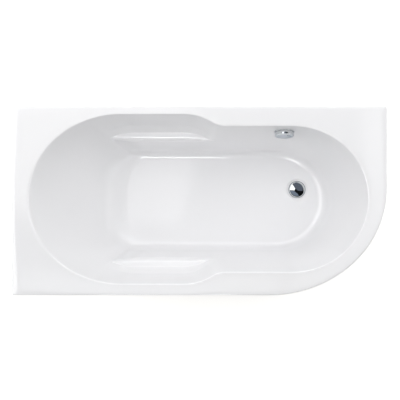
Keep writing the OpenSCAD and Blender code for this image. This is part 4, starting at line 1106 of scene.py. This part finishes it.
def seen_by_eye(tree):
    """1 for rays from the camera and for those mirrored or let through, 0 for the others."""
    rays = add_node(tree, "ShaderNodeLightPath").outputs
    either = calculated("MAXIMUM", rays["Is Camera Ray"], rays["Is Glossy Ray"])
    return calculated("MAXIMUM", either, rays["Is Transmission Ray"])


GROUND = {"Roughness": 0.9, "Base Color": linear("#F4F4F4"), "Emission Color": linear("#FFFFFF")}
shader = start_finish("white_paper_ground", GROUND)[0]
feed(shader, {"Emission Strength": calculated("MULTIPLY", seen_by_eye(shader.id_data), FLOOR_GLOW)})
stage_floor.data.materials.append(finishes["white_paper_ground"])

world = bpy.data.worlds.new("studio")
bpy.context.scene.world = world
world.use_nodes = True
tree = world.node_tree
dim = feed(tree.nodes["Background"], {"Color": linear("#FFFFFF"), "Strength": AMBIENT})
bright = add_node(tree, "ShaderNodeBackground", {"Color": linear("#FFFFFF"), "Strength": 1.0})
feed(tree.nodes["World Output"], {"Surface": either_shader(seen_by_eye(tree), dim, bright)})

# %% [markdown]
# ## The light
# The wall side of the bowl is the darkest and the side that faces it the brightest, so most of the
# light comes from above and behind the wall side, the rest from the two ends, and none from the room
# side. Each lamp is a large soft panel. The strengths were found by lighting the bath with one lamp at
# a time and mixing those pictures until the tones agreed with the photograph's.
#
# The panels light the bath but aren't mirrored in it: on glossy acrylic they would draw broad bright
# streaks that the photograph doesn't have. What it has is a thin bright line along every bend of the
# skin: the rim's roll, the armrests' edges, the crease. A bend mirrors a wide stretch of the room, so
# panels at the sides, which only the shell mirrors, draw those lines and leave most flat faces clear.
# Three strips straight above brighten the flat rim along its front, its large corner and its drain end.
#
# A panel is mirrored once only. Its image in the acrylic would show again in the chrome as a bright
# mark that the photograph doesn't have, so it goes dark for rays that were mirrored before.

# %% Lamps
BATH = (0.0, 0.0, 0.4)
ROOF_PANEL, SIDE_PANEL, END_PANEL, SMALL_PANEL = (1.6, 1.6), (3.0, 1.2), (1.2, 2.4), (1.6, 1.2)


def soft_light(name, power, size, place):
    """A soft panel that faces the bath and isn't mirrored in anything."""
    data = bpy.data.lights.new(name, "AREA")
    data.shape, data.size, data.size_y, data.energy = "RECTANGLE", size[0], size[1], power
    lamp = bpy.data.objects.new(name, data)
    bpy.context.scene.collection.objects.link(lamp)
    lamp.location = place
    lamp.rotation_euler = (Vector(BATH) - Vector(place)).to_track_quat("-Z", "Y").to_euler()
    lamp.visible_camera = lamp.visible_glossy = False
    return lamp


soft_light("overhead", 19, ROOF_PANEL, (0, 0, 3.6))
soft_light("wall_side_high", 25, SIDE_PANEL, (0, 1.6, 3.6))
soft_light("wall_side_low", 17, SIDE_PANEL, (0, 3.2, 1.8))
soft_light("wall_and_drain", 17, SMALL_PANEL, (2.2, 2.2, 2.8))
soft_light("wall_and_head", 9, SMALL_PANEL, (-2.2, 2.2, 2.8))
soft_light("drain_end", 15, END_PANEL, (2.0, 0, 3.6))
soft_light("head_end", 12, END_PANEL, (-3.0, 0, 2.8))
soft_light("head_end_low", 21, END_PANEL, (-3.6, 0, 1.8))

# %% Panels that only the acrylic mirrors
MIRRORED_BEFORE = 2.5       # a lamp found by a mirrored ray counts one deeper than a card does
acrylic_only = bpy.data.collections.new("acrylic_only")
acrylic_only.objects.link(shell)


def gleam(name, brightness, size, place):
    """A panel of the given brightness (1 is white) that the shell alone mirrors, and only once."""
    lamp = soft_light(name, brightness * math.pi * size[0] * size[1], size, place)
    lamp.visible_glossy, lamp.visible_diffuse = True, False
    lamp.light_linking.receiver_collection = acrylic_only
    lamp.data.use_nodes = True
    tree = lamp.data.node_tree
    depth = add_node(tree, "ShaderNodeLightPath").outputs["Ray Depth"]
    feed(tree.nodes["Emission"], {"Strength": calculated("LESS_THAN", depth, MIRRORED_BEFORE)})
    return lamp


gleam("gleam_wall_side", 1.8, (4.0, 2.0), (0, 1.6, 3.0))
gleam("gleam_wall_low", 11, (5.0, 1.3), (0, 3.2, 1.4))
gleam("gleam_head_end", 4.2, (3.0, 1.5), (-1.95, 0, 3.43))
gleam("gleam_head_low", 20, (4.0, 0.9), (-3.6, 0, 1.1))
gleam("gleam_drain_low", 15, (4.0, 0.8), (3.4, 0, 1.0))
gleam("gleam_room_side", 9, (0.9, 1.5), (-0.22, -1.95, 3.0))

# %% Strips that the flat rim mirrors
STRIPS_HIGH = 5.1


def strip(name, brightness, size, spot, turn):
    """A panel straight above, turned about Z by turn degrees, that only the shell mirrors."""
    lamp = gleam(name, brightness, size, (*spot, STRIPS_HIGH))
    lamp.rotation_euler = (0, 0, math.radians(turn))


strip("gleam_rim_front", 1.7, (2.0, 0.27), (-0.4, -0.665), 0)
strip("gleam_rim_corner", 1.7, (1.05, 0.26), (1.07, -0.44), 42)
strip("gleam_rim_drain", 1.7, (0.26, 0.85), (1.37, 0.34), 0)

# %% [markdown]
# Chrome has no colour of its own: the plug and the knob are made of what they mirror. In the
# photograph that is a dark studio ceiling with a white window, a slate-blue patch and a small lamp.
# Flat cards high over the bath stand for them, hidden from everything but mirrors. Each is drawn by
# where the plug's dome shows it, in plug radii from its middle: that spot's slope says where its
# reflection leads. A card nearer to the bath hides the ones above it. In a second mirror image, as of
# the plug in the acrylic, the cards are plain white, or the plug would draw a dark patch on the wall.

# %% Cards that chrome mirrors
CEILING_HIGH, PATCHES_HIGH, LIGHTS_HIGH, CEILING_R = 5.4, 5.3, 5.2, 0.94
MIRRORED_TWICE = 1.5


def mirrored(spot, normal, height):
    """The point at this height that a mirror at spot shows to the camera, all in metres."""
    seen = (camera.location - spot).normalized()
    out = 2 * normal.dot(seen) * normal - seen
    return spot + out * ((height - spot.z) / out.z)


def on_dome(height, spots):
    """The points at this height (m) that the dome mirrors at these spots in plug radii, in mm."""
    points = []
    for x, y in spots:
        rise = math.sqrt(BALL_R ** 2 - (x * x + y * y) * PLUG_R ** 2)
        normal = Vector((x * PLUG_R, y * PLUG_R, rise)).normalized()
        spot = Vector((DRAIN[0] + x * PLUG_R, DRAIN[1] + y * PLUG_R, PLUG_HIGH)) * MM
        points.append(mirrored(spot, normal, height) / MM)
    return points


def glowing(tree, colour, strength):
    """A shader node that glows in one colour."""
    return add_node(tree, "ShaderNodeEmission", {"Color": linear(colour), "Strength": strength})


def card(name, colour, brightness, spots):
    """A flat glowing card that only mirrors show, plain white where it is mirrored twice."""
    tree = new_material(name)
    tree.nodes.remove(tree.nodes["Principled BSDF"])
    depth = add_node(tree, "ShaderNodeLightPath").outputs["Ray Depth"]
    looks = either_shader(calculated("GREATER_THAN", depth, MIRRORED_TWICE),
                          glowing(tree, colour, brightness), glowing(tree, "#FFFFFF", 1.0))
    feed(tree.nodes["Material Output"], {"Surface": looks})
    piece = add_piece(name, spots, [tuple(range(len(spots)))])
    piece.data.materials.append(finishes[name])
    piece.visible_camera = piece.visible_diffuse = False
    piece.visible_transmission = piece.visible_shadow = False
    pieces.pop(name)


ring = [(CEILING_R * math.cos(a), CEILING_R * math.sin(a)) for a in np.radians(np.arange(0, 360, 20))]
upper_slate = [(-0.47, 0.83), (0.0, 0.94), (0.4, 0.86), (0.67, 0.59), (0.76, 0.05), (0.67, -0.18),
               (0.13, -0.15), (-0.3, 0.19), (-0.5, 0.59)]
slate_blue = [(-0.9, -0.11), (-0.4, -0.18), (0.07, -0.55), (0.23, -0.81), (-0.33, -0.8), (-0.73, -0.5)]
window = [(-0.95, -0.06), (-0.33, -0.11), (-0.27, 0.15), (-0.6, 0.69), (-0.8, 0.5)]
small_lamp = [(0.47, 0.76), (0.56, 0.76), (0.74, 0.52), (0.66, 0.48)]
card("card_ceiling", "#141619", 1.0, on_dome(CEILING_HIGH, ring))
card("card_upper_slate", "#666B76", 1.0, on_dome(PATCHES_HIGH, upper_slate))
card("card_slate_blue", "#828C9B", 1.0, on_dome(PATCHES_HIGH, slate_blue))
card("card_window", "#FFFFFF", 1.7, on_dome(LIGHTS_HIGH, window))
card("card_small_lamp", "#FFFFFF", 1.7, on_dome(LIGHTS_HIGH, small_lamp))

# %% [markdown]
# The knob's skirt is a cylinder that lies almost level, so each line along it mirrors one direction
# only. From left to right it shows a grey, a white, a black and again a grey part of the room, high
# over the wall side. Two grey cards stand upright at the ends of the room for the knob's sides.

# %% Cards that the knob mirrors
SKIRT_CARDS_HIGH, TOWARDS_ROOM, TOWARDS_WALL = 5.5, 900, 1300
WALL_CARD_X, WALL_CARD_Y, WALL_CARD_Z = 11500, (800, 9000), (300, 5500)


def mirrored_by_skirt(degrees):
    """The point (mm) that the skirt mirrors, so many degrees to the right of its top."""
    turn = math.radians(degrees)
    normal = Vector(math.cos(turn) * UP_WALL + math.sin(turn) * np.array((1.0, 0, 0)))
    spot = Vector(OVERFLOW + OUT_OF_WALL * KNOB_FRONT / 2) * MM + normal * KNOB_R * MM
    return mirrored(spot, normal, SKIRT_CARDS_HIGH) / MM


def skirt_card(name, colour, brightness, start, stop):
    """A card between two lines of the skirt, in degrees to the right of its top."""
    near = [mirrored_by_skirt(a) for a in np.linspace(start, stop, 5)]
    band = [p + Vector((0, -TOWARDS_ROOM, 0)) for p in near]
    band += [p + Vector((0, TOWARDS_WALL, 0)) for p in reversed(near)]
    card(name, colour, brightness, band)


skirt_card("card_skirt_left", "#6E7479", 1.0, -35, -19)
skirt_card("card_skirt_white", "#FFFFFF", 1.5, -19, -1)
skirt_card("card_skirt_black", "#0C0D0E", 1.0, -1, 24)
skirt_card("card_skirt_right", "#6E7479", 1.0, 24, 35)
(near_y, far_y), (low_z, high_z) = WALL_CARD_Y, WALL_CARD_Z
for end, sign in (("left", -1), ("right", 1)):
    corners = [(near_y, low_z), (far_y, low_z), (far_y, high_z), (near_y, high_z)]
    card(f"card_wall_{end}", "#60656A", 1.0, [(sign * WALL_CARD_X, y, z) for y, z in corners])
bpy.context.scene.view_settings.view_transform = "Standard"
